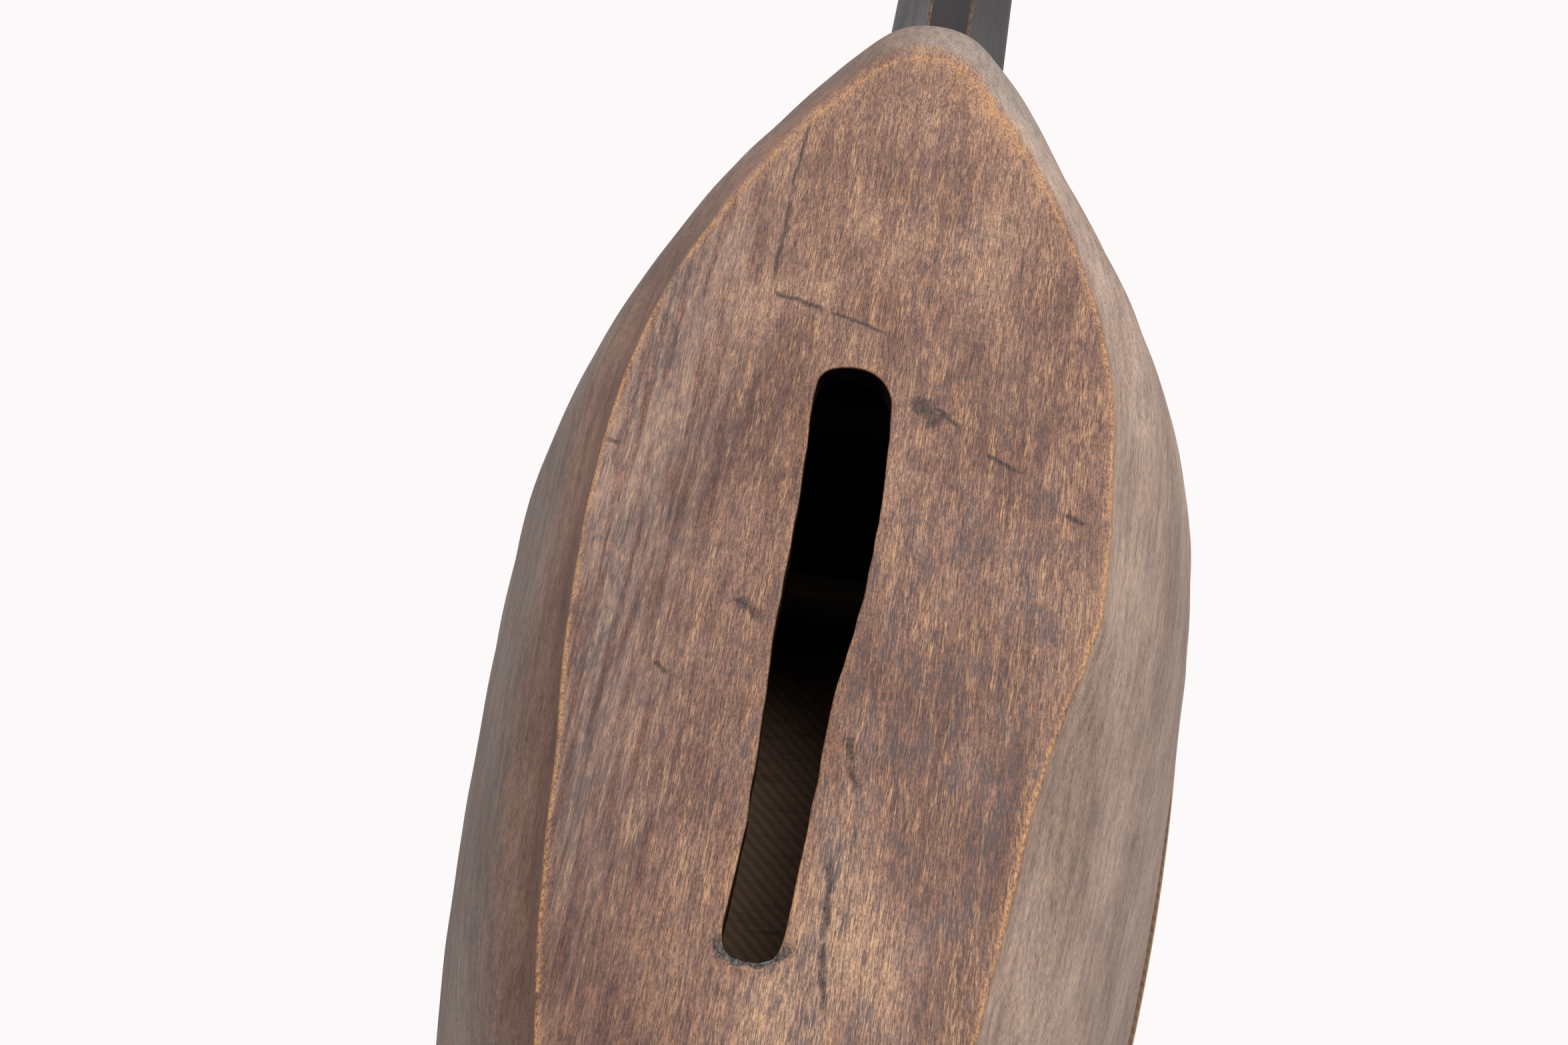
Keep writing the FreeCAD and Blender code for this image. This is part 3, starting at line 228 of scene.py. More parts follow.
# %% The bowl's carved and stained wood
def bowl_wood():
    made, tree, shader = new_material("carved_bowl_wood")
    blotch = cloud(tree, (36, 36, 17), 6.0, 0.62, 0.25)
    mottle = cloud(tree, (210, 210, 100), 5.0, 0.68, 0.3, shift=(2, 5, 1))
    figure = cloud(tree, (640, 640, 34), 6.0, 0.6, 0.1)
    fibre = cloud(tree, (5200, 5200, 300), 2.0, 0.7)
    speckle = cloud(tree, (2400, 2400, 1300), 3.0, 0.75)
    pores = cloud(tree, (3200, 3200, 110), 2.0, 0.5, shift=(1, 1, 1))
    broad = cloud(tree, (18, 18, 6), 3.0, 0.5, shift=(3, 0, 1))

    # Oil and dirt: reddish brown in broad clouds, broken by patches that have rubbed to tan.
    keel = ramp(tree, blotch, (0.34, (0.088, 0.040, 0.030)), (0.46, (0.138, 0.071, 0.052)),
                (0.56, (0.186, 0.104, 0.078)), (0.68, (0.262, 0.162, 0.114)))
    patches = ramp(tree, mottle, (0.38, (0.70, 0.66, 0.70)), (0.5, (1.0, 0.98, 0.97)),
                   (0.62, (1.22, 1.22, 1.14)))
    streak = ramp(tree, figure, (0.36, (0.76, 0.72, 0.72)), (0.5, (1.0, 1.0, 1.0)),
                  (0.64, (1.20, 1.17, 1.10)))
    grain = ramp(tree, fibre, (0.36, (0.42, 0.39, 0.40)), (0.5, (1.0, 1.0, 1.0)), (0.64, (1.62, 1.56, 1.38)))
    fleck = ramp(tree, speckle, (0.36, (0.52, 0.48, 0.50)), (0.5, (1.0, 1.0, 1.0)),
                 (0.64, (1.50, 1.44, 1.25)))
    for layer, share in ((patches, 0.42), (streak, 0.75), (grain, 0.95), (fleck, 0.75)):
        keel = lay(tree, keel, layer, share, "MULTIPLY")
    pits = times(tree, window(tree, pores, 0.40, 0.31), 0.6)
    keel = lay(tree, keel, (0.040, 0.031, 0.033), pits)
    # Where hands have rubbed, the tops of the fibres are golden.
    golden = times(tree, window(tree, figure, 0.47, 0.60), window(tree, fibre, 0.50, 0.60))
    golden = times(tree, golden, window(tree, mottle, 0.34, 0.58))
    keel = lay(tree, keel, (0.46, 0.285, 0.135), times(tree, golden, 0.55))

    # A greyer, rubbed band on one side of the keel.
    beyond = window(tree, across(tree, "X"), 0.016, 0.045)
    band = times(tree, beyond, window(tree, figure, 0.36, 0.6))
    keel = lay(tree, keel, (0.33, 0.255, 0.222), times(tree, band, 0.34))

    # Low on the same side the oil has soaked in, and the wood is redder and darker.
    soaked = times(tree, window(tree, across(tree, "X"), 0.004, 0.024),
                  window(tree, across(tree, "Z"), 0.085, 0.045))
    keel = lay(tree, keel, (0.66, 0.58, 0.56), soaked, "MULTIPLY")

    # The dark stain lies in patches that run along the grain, and in a broken row beside the slot.
    stain = times(tree, window(tree, broad, 0.54, 0.42), window(tree, mottle, 0.52, 0.38))
    beside = sums(tree, "ABSOLUTE", sums(tree, "ADD", across(tree, "X"), 0.0085))
    row = times(tree, window(tree, beside, 0.0055, 0.001),
               window(tree, across(tree, "Z"), 0.125, 0.105))
    row = times(tree, row, window(tree, mottle, 0.54, 0.44))
    margin = window(tree, across(tree, "X"), 0.034, 0.043)
    edge = times(tree, margin, window(tree, mottle, 0.55, 0.42))
    stain = sums(tree, "MAXIMUM", stain, sums(tree, "MAXIMUM", row, edge))
    stain = times(tree, stain, window(tree, fibre, 0.62, 0.40))
    keel = lay(tree, keel, (0.048, 0.042, 0.046), times(tree, stain, 0.70))

    grey = ramp(tree, blotch, (0.34, (0.200, 0.142, 0.114)), (0.5, (0.270, 0.198, 0.162)),
                (0.68, (0.345, 0.260, 0.212)))
    for layer, share in ((streak, 0.9), (grain, 0.6)):
        grey = lay(tree, grey, layer, share, "MULTIPLY")
    # Painted shade on the walls: the +X flank is darker and a little colder, the walls near the tip are
    # darker and bluer, and the hollow just below the edge on the +X flank is darker and redder.
    shaded_flank = window(tree, across(tree, "X"), -0.01, 0.03)
    grey = lay(tree, grey, (0.62, 0.63, 0.66), shaded_flank, "MULTIPLY")
    grey = lay(tree, grey, (0.74, 0.80, 0.84), window(tree, across(tree, "Z"), 0.285, 0.315), "MULTIPLY")
    under = times(tree, painted(tree, "cove"), shaded_flank)
    grey = lay(tree, grey, (0.95, 0.66, 0.52), under, "MULTIPLY")
    colour = lay(tree, keel, grey, painted(tree, "side"))

    # Knocks and scratches on the keel, each as long as the real one.
    marks = None
    for start, end, width in KEEL_MARKS:
        one = scratch(tree, start, end, width)
        marks = one if marks is None else sums(tree, "MAXIMUM", marks, one)
    marks = times(tree, marks, window(tree, speckle, 0.30, 0.52))
    marks = times(tree, marks, flipped(tree, painted(tree, "side")))
    colour = lay(tree, colour, (0.028, 0.023, 0.025), times(tree, marks, 0.80))

    # Bare golden wood where the edges are worn.
    rubbed = times(tree, painted(tree, "wear"), window(tree, speckle, 0.30, 0.58))
    rubbed = times(tree, rubbed, window(tree, mottle, 0.30, 0.54))
    gold = ramp(tree, speckle, (0.40, (0.27, 0.115, 0.045)), (0.62, (0.48, 0.265, 0.120)))
    colour = lay(tree, colour, gold, rubbed)

    # Painted shade: the hollow is coloured near black, as little light gets into it, and a band near the top
    # end of the slot is darker still.
    hollow = lay(tree, (0.016, 0.010, 0.007), streak, 0.8, "MULTIPLY")
    hollow = lay(tree, hollow, (0.003, 0.002, 0.002), window(tree, across(tree, "Z"), 0.199, 0.203))
    colour = lay(tree, colour, hollow, painted(tree, "inside"))
    torn = ramp(tree, speckle, (0.44, (0.014, 0.012, 0.012)), (0.60, (0.13, 0.12, 0.11)))
    colour = lay(tree, colour, torn, painted(tree, "chip"))
    put(tree, shader.inputs["Base Color"], colour)

    gloss = greys(tree, mottle, 0.44, 0.62)
    dull = lay(tree, gloss, (0.66, 0.66, 0.66), painted(tree, "side"))
    put(tree, shader.inputs["Roughness"], lay(tree, dull, (0.9, 0.9, 0.9), painted(tree, "inside")))
    shine = flipped(tree, painted(tree, "inside"))
    put(tree, shader.inputs["Specular IOR Level"], times(tree, shine, 0.28))
    rough = relief(tree, shader, fibre, 0.00007)
    rough = relief(tree, shader, figure, 0.00012, under=rough)
    relief(tree, shader, sums(tree, "SUBTRACT", 0.0, marks), 0.00020, under=rough)
    return made


# Marks on the keel face as (x, z) at both ends and half a width, in metres.
KEEL_MARKS = [
    ((0.0234, 0.2860), (0.0243, 0.2540), 0.0004),
    ((0.0240, 0.2580), (0.0237, 0.2240), 0.0006),
    ((0.0240, 0.2250), (0.0105, 0.2201), 0.0009),
    ((0.0115, 0.2205), (-0.0035, 0.2158), 0.0006),
    ((-0.0110, 0.1990), (-0.0122, 0.1885), 0.0028),
    ((-0.0125, 0.1965), (-0.0195, 0.1905), 0.0008),
    ((-0.0240, 0.1850), (-0.0330, 0.1800), 0.0006),
    ((0.0503, 0.1766), (0.0465, 0.1761), 0.0008),
    ((-0.0410, 0.1717), (-0.0449, 0.1683), 0.0008),
    ((0.0188, 0.1380), (0.0115, 0.1321), 0.0012),
    ((0.0308, 0.1194), (0.0275, 0.1162), 0.0006),
    ((-0.0064, 0.1075), (-0.0079, 0.1000), 0.0013),
    ((-0.0078, 0.1010), (-0.0096, 0.0940), 0.0009),
    ((-0.0068, 0.0800), (-0.0079, 0.0605), 0.0007),
    ((-0.0078, 0.0620), (-0.0097, 0.0450), 0.0006),
]


# %% [markdown]
# The black lacquer is thin and old: glossy, a little uneven where the brush went, and warm brown
# underneath. Its edges are rubbed through, and that is a second, brown finish that only the bevelled
# edges of a piece carry. The other woods, bone, brass, gut and steel follow the same plan.


# %% Lacquer, woods, bone and metals
def lacquer(name, rubbed):
    """Black lacquer, or the brown wood where it has rubbed off."""
    made, tree, shader = new_material(name, roughness=0.3, specular=0.16)
    brushed = cloud(tree, (260, 260, 18), 5.0, 0.6)
    dust = cloud(tree, (900, 900, 500), 4.0, 0.7)
    if rubbed:
        colour = ramp(tree, brushed, (0.35, (0.085, 0.034, 0.016)), (0.65, (0.30, 0.135, 0.055)))
        colour = lay(tree, colour, (0.02, 0.016, 0.015), window(tree, dust, 0.60, 0.42))
        put(tree, shader.inputs["Roughness"], greys(tree, dust, 0.35, 0.55))
    else:
        colour = ramp(tree, brushed, (0.42, (0.006, 0.005, 0.0055)), (0.62, (0.015, 0.012, 0.012)))
        colour = lay(tree, colour, (0.10, 0.055, 0.035), window(tree, dust, 0.66, 0.78))
        put(tree, shader.inputs["Roughness"], greys(tree, brushed, 0.16, 0.34, (0.40, 0.64)))
    put(tree, shader.inputs["Base Color"], colour)
    relief(tree, shader, brushed, 0.00008)
    return made


def straight_wood(name, dark, middle, light, pitch, roughness, gloss=0.0, depth=0.00004, axis=(1, 1, 0.03)):
    """Straight-grained wood: lines this many to the metre, drawn out along one axis."""
    made, tree, shader = new_material(name, roughness=roughness, coat=gloss, coat_roughness=0.2)
    lines = cloud(tree, tuple(pitch * part for part in axis), 3.0, 0.5, 0.05)
    pores = cloud(tree, tuple(pitch * 5 * part for part in axis), 3.0, 0.7)
    broad = cloud(tree, (22, 22, 8), 3.0, 0.5)
    colour = ramp(tree, lines, (0.30, dark), (0.52, middle), (0.72, light))
    shade = ramp(tree, broad, (0.3, (0.78, 0.76, 0.74)), (0.7, (1.10, 1.08, 1.06)))
    colour = lay(tree, colour, shade, 0.8, "MULTIPLY")
    colour = lay(tree, colour, dark, times(tree, window(tree, pores, 0.44, 0.34), 0.55))
    put(tree, shader.inputs["Base Color"], colour)
    put(tree, shader.inputs["Roughness"], greys(tree, pores, roughness * 1.25, roughness * 0.85))
    relief(tree, shader, pores, depth)
    return made


def spruce_top():
    """The soundboard: fine even lines up the board, old varnish, grey with handling near the edge."""
    made, tree, shader = new_material("soundboard_spruce", coat_roughness=0.25)
    wave = tree.nodes.new("ShaderNodeTexWave")
    wave.wave_type = "BANDS"
    wave.bands_direction = "X"
    wave.inputs["Scale"].default_value = 1.0
    wave.inputs["Distortion"].default_value = 1.3
    wave.inputs["Detail"].default_value = 2.0
    tree.links.new(object_place(tree, (240, 60, 9)), wave.inputs["Vector"])
    silk = cloud(tree, (60, 60, 420), 4.0, 0.7)
    fibre = cloud(tree, (1500, 1500, 60), 3.0, 0.6)
    broad = cloud(tree, (18, 18, 9), 5.0, 0.6)
    colour = ramp(tree, wave.outputs["Fac"], (0.0, (0.44, 0.245, 0.105)), (0.55, (0.60, 0.37, 0.17)),
                  (0.93, (0.66, 0.43, 0.21)), (1.0, (0.36, 0.185, 0.075)))
    colour = lay(tree, colour, ramp(tree, silk, (0.4, (0.92, 0.90, 0.88)), (0.6, (1.06, 1.06, 1.05))), 0.7,
                 "MULTIPLY")
    colour = lay(tree, colour, ramp(tree, broad, (0.3, (0.66, 0.60, 0.55)), (0.6, (1.0, 1.0, 1.0))), 0.8,
                 "MULTIPLY")
    colour = lay(tree, colour, (0.16, 0.10, 0.065), times(tree, painted(tree, "wear"), 0.7))
    # The inner face was never varnished: it's dark brown, with the ripple that the saw left.
    saw = tree.nodes.new("ShaderNodeTexWave")
    saw.bands_direction = "X"
    saw.inputs["Scale"].default_value = 1.0
    saw.inputs["Distortion"].default_value = 1.5
    tree.links.new(object_place(tree, (150,) * 3, turn=(0, math.radians(-42), 0)), saw.inputs["Vector"])
    bare = ramp(tree, saw.outputs["Fac"], (0.2, (0.125, 0.080, 0.055)), (0.8, (0.165, 0.108, 0.076)))
    # Painted shadow: towards the neck, beyond the reach of the light that comes in through the slot, the
    # inner face is coloured near black, with a ragged edge.
    slot_light_share = window(tree, across(tree, "Z"), 0.205, 0.150)
    bare = lay(tree, (0.006, 0.004, 0.003), bare, times(tree, slot_light_share, window(tree, silk, 0.1, 0.5)))
    inside = painted(tree, "inside")
    colour = lay(tree, colour, bare, inside)
    put(tree, shader.inputs["Base Color"], colour)
    gloss = greys(tree, broad, 0.52, 0.36)
    put(tree, shader.inputs["Roughness"], lay(tree, gloss, (0.85, 0.85, 0.85), inside))
    outside = flipped(tree, inside)
    put(tree, shader.inputs["Coat Weight"], times(tree, outside, 0.25))
    put(tree, shader.inputs["Specular IOR Level"], times(tree, outside, 0.5))
    relief(tree, shader, fibre, 0.00005)
    return made


def bone(name="bone"):
    made, tree, shader = new_material(name, roughness=0.32, specular=0.5)
    shader.inputs["Subsurface Weight"].default_value = 0.12
    shader.inputs["Subsurface Scale"].default_value = 0.002
    streak = cloud(tree, (500, 500, 500), 4.0, 0.6)
    colour = ramp(tree, streak, (0.3, (0.60, 0.49, 0.32)), (0.6, (0.76, 0.68, 0.50)))
    put(tree, shader.inputs["Base Color"], colour)
    put(tree, shader.inputs["Roughness"], greys(tree, streak, 0.42, 0.26))
    relief(tree, shader, streak, 0.00003)
    return made


def metal(name, dark, light, low_rough, high_rough):
    """Handled metal: bright where it is rubbed, dull and darker where it is not."""
    made, tree, shader = new_material(name, metallic=1.0)
    tarnish = cloud(tree, (350, 350, 350), 6.0, 0.65)
    fine = cloud(tree, (3000, 3000, 3000), 2.0, 0.5)
    put(tree, shader.inputs["Base Color"], ramp(tree, tarnish, (0.35, dark), (0.62, light)))
    put(tree, shader.inputs["Roughness"], greys(tree, tarnish, high_rough, low_rough))
    relief(tree, shader, fine, 0.00001)
    return made


def gut():
    made, tree, shader = new_material("gut_string", roughness=0.3, specular=0.5)
    twist = cloud(tree, (2500, 2500, 900), 2.0, 0.5)
    put(tree, shader.inputs["Base Color"],
        ramp(tree, twist, (0.3, (0.40, 0.26, 0.12)), (0.7, (0.72, 0.56, 0.34))))
    put(tree, shader.inputs["Roughness"], greys(tree, twist, 0.42, 0.25))
    relief(tree, shader, twist, 0.00004)
    return made


FINISH = {
    "carved_bowl_wood": bowl_wood(),
    "soundboard_spruce": spruce_top(),
    # Painted shade: the braces are coloured near black, as they lie in the unlit part of the hollow.
    "brace_spruce": straight_wood("brace_spruce", (0.022, 0.014, 0.009), (0.036, 0.023, 0.014),
                                  (0.050, 0.033, 0.021), 900, 0.8, axis=(0.03, 1, 1)),
    "black_lacquer": lacquer("black_lacquer", rubbed=False),
    "rubbed_lacquer": lacquer("rubbed_lacquer", rubbed=True),
    "dark_veneer": straight_wood("dark_veneer", (0.012, 0.009, 0.008), (0.030, 0.020, 0.016),
                                 (0.060, 0.038, 0.027), 700, 0.35, gloss=0.3),
    "fingerboard_wood": straight_wood("fingerboard_wood", (0.010, 0.008, 0.007), (0.024, 0.017, 0.014),
                                      (0.050, 0.033, 0.024), 900, 0.42),
    "bridge_maple": straight_wood("bridge_maple", (0.17, 0.085, 0.040), (0.30, 0.16, 0.075),
                                  (0.40, 0.235, 0.12), 800, 0.45, gloss=0.15, axis=(0.05, 1, 1)),
    "peg_wood": straight_wood("peg_wood", (0.022, 0.012, 0.009), (0.055, 0.030, 0.021),
                              (0.105, 0.056, 0.036), 900, 0.34, gloss=0.25, axis=(1, 0.05, 1)),
    "bone": bone(),
    "fret_brass": metal("fret_brass", (0.38, 0.24, 0.10), (0.80, 0.60, 0.30), 0.18, 0.42),
    "pin_brass": metal("pin_brass", (0.30, 0.19, 0.085), (0.70, 0.50, 0.24), 0.22, 0.48),
    "steel_string": metal("steel_string", (0.42, 0.41, 0.40), (0.74, 0.73, 0.72), 0.16, 0.34),
    "gut_string": gut(),
}
print("finishes", len(FINISH))


# %% [markdown]
# Two habits keep the modelling safe. Before anything is added, everything is deselected, because an
# operator acts on all that is selected. And each finished piece is given the finish named by its material
# slot and the body it rides on, and the nodes of the mechanical model that it stands for are hidden.


# %% Helpers for modelling
SLOT_OF = {entry["node"]: entry["material_slot"] for entry in frame["record"]["subparts"]}


def nothing_selected():
    if bpy.context.object and bpy.context.object.mode != "OBJECT":
        bpy.ops.object.mode_set(mode="OBJECT")
    bpy.ops.object.select_all(action="DESELECT")


def work_on(piece):
    nothing_selected()
    piece.select_set(True)
    bpy.context.view_layer.objects.active = piece


@contextmanager
def editing(piece):
    """Edit mode, with the whole of a piece selected."""
    work_on(piece)
    bpy.ops.object.mode_set(mode="EDIT")
    bpy.ops.mesh.select_all(action="SELECT")
    yield
    bpy.ops.object.mode_set(mode="OBJECT")


def join(pieces):
    """Joins pieces into the first one."""
    nothing_selected()
    for piece in pieces:
        piece.select_set(True)
    bpy.context.view_layer.objects.active = pieces[0]
    bpy.ops.object.join()
    return pieces[0]


def apply_all(piece):
    """Applies a piece's modifiers in order."""
    work_on(piece)
    for modifier in list(piece.modifiers):
        bpy.ops.object.modifier_apply(modifier=modifier.name)


def hand_over(piece, nodes, finish=None, body=BODY):
    """Gives a new piece its finish and body, and hides the nodes that it stands for."""
    name = finish or SLOT_OF[nodes[0]]
    if not piece.data.materials:
        piece.data.materials.append(FINISH[name])
    else:
        piece.data.materials[0] = FINISH[name]
    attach(piece, body)
    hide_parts(*nodes)
    return piece


def smooth(piece, degrees=35):
    work_on(piece)
    bpy.ops.object.shade_smooth_by_angle(angle=math.radians(degrees))


def copy_of(node, name):
    """A node's mesh as a piece of its own, its loose triangles joined up and its flats made whole."""
    source = frame["nodes"][node]
    piece = bpy.data.objects.new(name, source.data.copy())
    bpy.context.scene.collection.objects.link(piece)
    piece.data.materials.clear()
    with editing(piece):
        bpy.ops.mesh.remove_doubles(threshold=0.01 * MM)
        bpy.ops.mesh.dissolve_limited(angle_limit=math.radians(0.6))
    return piece


def eased(piece, width, segments=2, worn=None, degrees=28):
    """Rounds a piece's sharp edges; with a worn finish, the rounding itself carries it."""
    bevel = piece.modifiers.new("ease", "BEVEL")
    bevel.width = width
    bevel.segments = segments
    bevel.limit_method = "ANGLE"
    bevel.angle_limit = math.radians(degrees)
    bevel.miter_outer = "MITER_ARC"
    bevel.use_clamp_overlap = True
    if worn:
        while len(piece.data.materials) < 2:
            piece.data.materials.append(FINISH[worn])
        bevel.material = 1
    apply_all(piece)
    smooth(piece)
    return piece


# %% [markdown]
# The bowl could be cut from a block with booleans, but then its faces would not follow its shape.
# Instead a flat grid is rolled up like cloth: round its length it becomes leaf-shaped rings, and
# across its width the rings go up the outside wall, over the worn edge, across the keel face, down
# through the slot, back under the plate and out along the hollow to the rim. Each ring is a leaf
# drawn with arcs, or a blend between the keel's leaf and the slot. That gives clean faces with no
# poles, and it lets every point be painted by its distance from an edge.


# %% Rings shaped like a leaf
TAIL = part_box("bowl")[0].z
KEEL_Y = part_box("bowl")[1].y
RIM_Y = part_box("bowl")[0].y
NECK_FLAT_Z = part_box("bowl")[1].z
DEPTH = KEEL_Y - RIM_Y
AROUND = 288

RIM = {"tail": 0.0, "tip": 352 * MM, "widest": 187 * MM, "half_width": 72 * MM, "tip_radius": 24 * MM,
       "corner_radius": 34 * MM}
KEEL = {"tail": 16 * MM, "tip": 307 * MM, "widest": 171 * MM, "half_width": 50 * MM, "tip_radius": 12 * MM,
        "corner_radius": 15 * MM}
SIDE_RADIUS = 720 * MM
TAIL_RADIUS = 130 * MM
SIDE_WALL = 6 * MM
KEEL_WALL = 5 * MM
TAIL_WALL = 18 * MM
TIP_BLOCK = 44 * MM


def arc_points(centre, radius, start, end, steps):
    """Points along the short arc about a centre, leaving out its last one."""
    first = math.atan2(start.y - centre.y, start.x - centre.x)
    turn = math.atan2(end.y - centre.y, end.x - centre.x) - first
    turn = (turn + math.pi) % (2 * math.pi) - math.pi
    angles = [first + turn * i / steps for i in range(steps)]
    return [centre + Vector((math.cos(a), math.sin(a))) * radius for a in angles]


def leaf(tail, tip, widest, half_width, tip_radius, corner_radius):
    """A closed leaf of tangent arcs, as (x, z) points from the tip, round by +X."""
    tip_centre = Vector((0, tip - tip_radius))
    rise = tip_centre.y - widest
    flank_radius = (half_width ** 2 + rise ** 2 - tip_radius ** 2) / (2 * (half_width - tip_radius))
    flank_centre = Vector((half_width - flank_radius, widest))
    side_centre = Vector((half_width - SIDE_RADIUS, widest))
    tail_centre = Vector((0, tail + TAIL_RADIUS))
    to_side, to_tail = SIDE_RADIUS - corner_radius, TAIL_RADIUS - corner_radius
    apart = tail_centre - side_centre
    along = (apart.length ** 2 + to_side ** 2 - to_tail ** 2) / (2 * apart.length)
    unit = apart.normalized()
    outward = math.sqrt(to_side ** 2 - along ** 2)
    corner_centre = side_centre + unit * along + Vector((unit.y, -unit.x)) * outward
    tip_top = Vector((0, tip))
    flank_top = flank_centre + (tip_centre - flank_centre).normalized() * flank_radius
    side_top = Vector((half_width, widest))
    side_foot = side_centre + (corner_centre - side_centre).normalized() * SIDE_RADIUS
    tail_end = tail_centre + (corner_centre - tail_centre).normalized() * TAIL_RADIUS
    tail_foot = Vector((0, tail))
    right = (arc_points(tip_centre, tip_radius, tip_top, flank_top, 24)
             + arc_points(flank_centre, flank_radius, flank_top, side_top, 60)
             + arc_points(side_centre, SIDE_RADIUS, side_top, side_foot, 60)
             + arc_points(corner_centre, corner_radius, side_foot, tail_end, 30)
             + arc_points(tail_centre, TAIL_RADIUS, tail_end, tail_foot, 20))
    left = [Vector((-p.x, p.y)) for p in reversed(right[1:])]
    return right + [tail_foot] + left


def evenly(points, count):
    """The same closed outline, as this many points at even steps along it."""
    closed = points + [points[0]]
    steps = [(b - a).length for a, b in zip(closed, closed[1:])]
    stride = sum(steps) / count
    out, i, gone = [], 0, 0.0
    for k in range(count):
        want = k * stride
        while gone + steps[i] < want:
            gone += steps[i]
            i += 1
        out.append(closed[i].lerp(closed[i + 1], (want - gone) / steps[i]))
    return out


def bowl_ring(depth, side=0.0, tail=0.0, tip=0.0):
    """The bowl's leaf at a depth below the keel face, drawn in by its walls."""
    share = 1 - min(depth / DEPTH, 1.0)
    wide = 1 - share ** 2
    ends = math.sqrt(1 - share ** 2)
    part = {"tail": ends, "tip": ends, "widest": wide, "half_width": wide, "tip_radius": wide,
            "corner_radius": wide}
    now = {key: KEEL[key] + (RIM[key] - KEEL[key]) * part[key] for key in KEEL}
    now["tail"] += TAIL + tail
    now["tip"] += TAIL - tip
    now["widest"] += TAIL
    now["half_width"] -= side
    return evenly(leaf(**now), AROUND)


# The slot was cut by eye: it narrows below the middle, and its ends are nearly square.
SLOT_EDGE = [
    (3.3, 205.0), (6.6, 204.6), (9.3, 203.4), (10.7, 201.2), (11.0, 198.0), (10.8, 189.0), (10.4, 179.0),
    (10.2, 165.0), (9.9, 148.0), (9.8, 132.0), (9.5, 123.0), (9.0, 112.0), (8.7, 100.0), (8.6, 88.0),
    (8.8, 76.0), (9.1, 66.0), (9.2, 60.5), (8.6, 57.8), (6.8, 56.6), (4.4, 56.2), (1.8, 56.6), (-0.4, 58.0),
    (-1.2, 61.0), (-1.4, 66.0), (-1.5, 75.0), (-2.0, 86.0), (-2.5, 97.0), (-2.7, 108.0), (-3.2, 118.0),
    (-4.3, 128.0), (-5.1, 140.0), (-5.5, 152.0), (-5.7, 167.0), (-5.4, 184.0), (-4.9, 194.0), (-3.9, 199.0),
    (-2.2, 202.4), (0.4, 204.4),
]


def slot_ring(grow=0.0):
    """The slot's edge with its corners rounded off, moved outwards by a little."""
    points = [Vector(place) * MM for place in SLOT_EDGE]
    for _ in range(3):
        rounded = []
        for a, b in zip(points, points[1:] + points[:1]):
            rounded += [a.lerp(b, 0.25), a.lerp(b, 0.75)]
        points = rounded
    points = points[-4:] + points[:-4]
    out = []
    for before, here, after in zip(points[-1:] + points[:-1], points, points[1:] + points[:1]):
        way = (after - before).normalized()
        out.append(here + Vector((-way.y, way.x)) * grow)
    return evenly(out, AROUND)


def rolled(name, rings, inner_from):
    """Rolls a grid up into a closed skin: one row of the grid for each ring of points.

    From row inner_from on, the rows are painted as the inside of the piece.
    """
    nothing_selected()
    bpy.ops.mesh.primitive_grid_add(x_subdivisions=AROUND, y_subdivisions=len(rings), size=1.0)
    piece = bpy.context.object
    piece.name = name
    across_count = AROUND + 1
    inside = piece.data.attributes.new("inside", "FLOAT", "POINT")
    for row in range(len(rings) + 1):
        ring = rings[row % len(rings)]
        for column in range(across_count):
            index = row * across_count + column
            piece.data.vertices[index].co = ring[column % AROUND]
            inside.data[index].value = 1.0 if inner_from <= row < len(rings) else 0.0
    with editing(piece):
        bpy.ops.mesh.remove_doubles(threshold=0.001 * MM)
        bpy.ops.mesh.normals_make_consistent(inside=False)
    return piece


def paint(piece, name, value_at):
    """Paints a number on every point of a piece."""
    layer = piece.data.attributes.new(name, "FLOAT", "POINT")
    for vertex, slot_value in zip(piece.data.vertices, layer.data):
        slot_value.value = value_at(vertex.co)


# %% Roll the bowl
# Where the rings lie: depths below the keel face in millimetres, and shares of the way from one edge
# to the other. They are closer together beside an edge.
OUTER_DEPTHS = (79, 77, 73, 68, 62, 56, 50, 44, 38, 32.5, 27.5, 23, 19, 15.5, 12.5, 10, 7.8, 6, 4.4, 3.1,
                2.1, 1.3, 0.7)
KEEL_SHARES = (0.010, 0.022, 0.04, 0.07, 0.11, 0.17, 0.25, 0.34, 0.44, 0.54, 0.64, 0.74, 0.83, 0.90, 0.95,
               0.98, 0.995)
SLOT_DROPS = (0.45, 1.2, 2.4, 3.7, 4.6)
UNDER_SHARES = (0.0, 0.15, 0.35, 0.55, 0.75, 0.90, 0.97)
INNER_DEPTHS = (6.0, 8.5, 13, 20, 30, 42, 54, 66, 74, 79)


def in_space(ring, y):
    return [Vector((p.x, y, p.y)) for p in ring]


def blend_rings(first, second, share):
    return [a.lerp(b, share) for a, b in zip(first, second)]


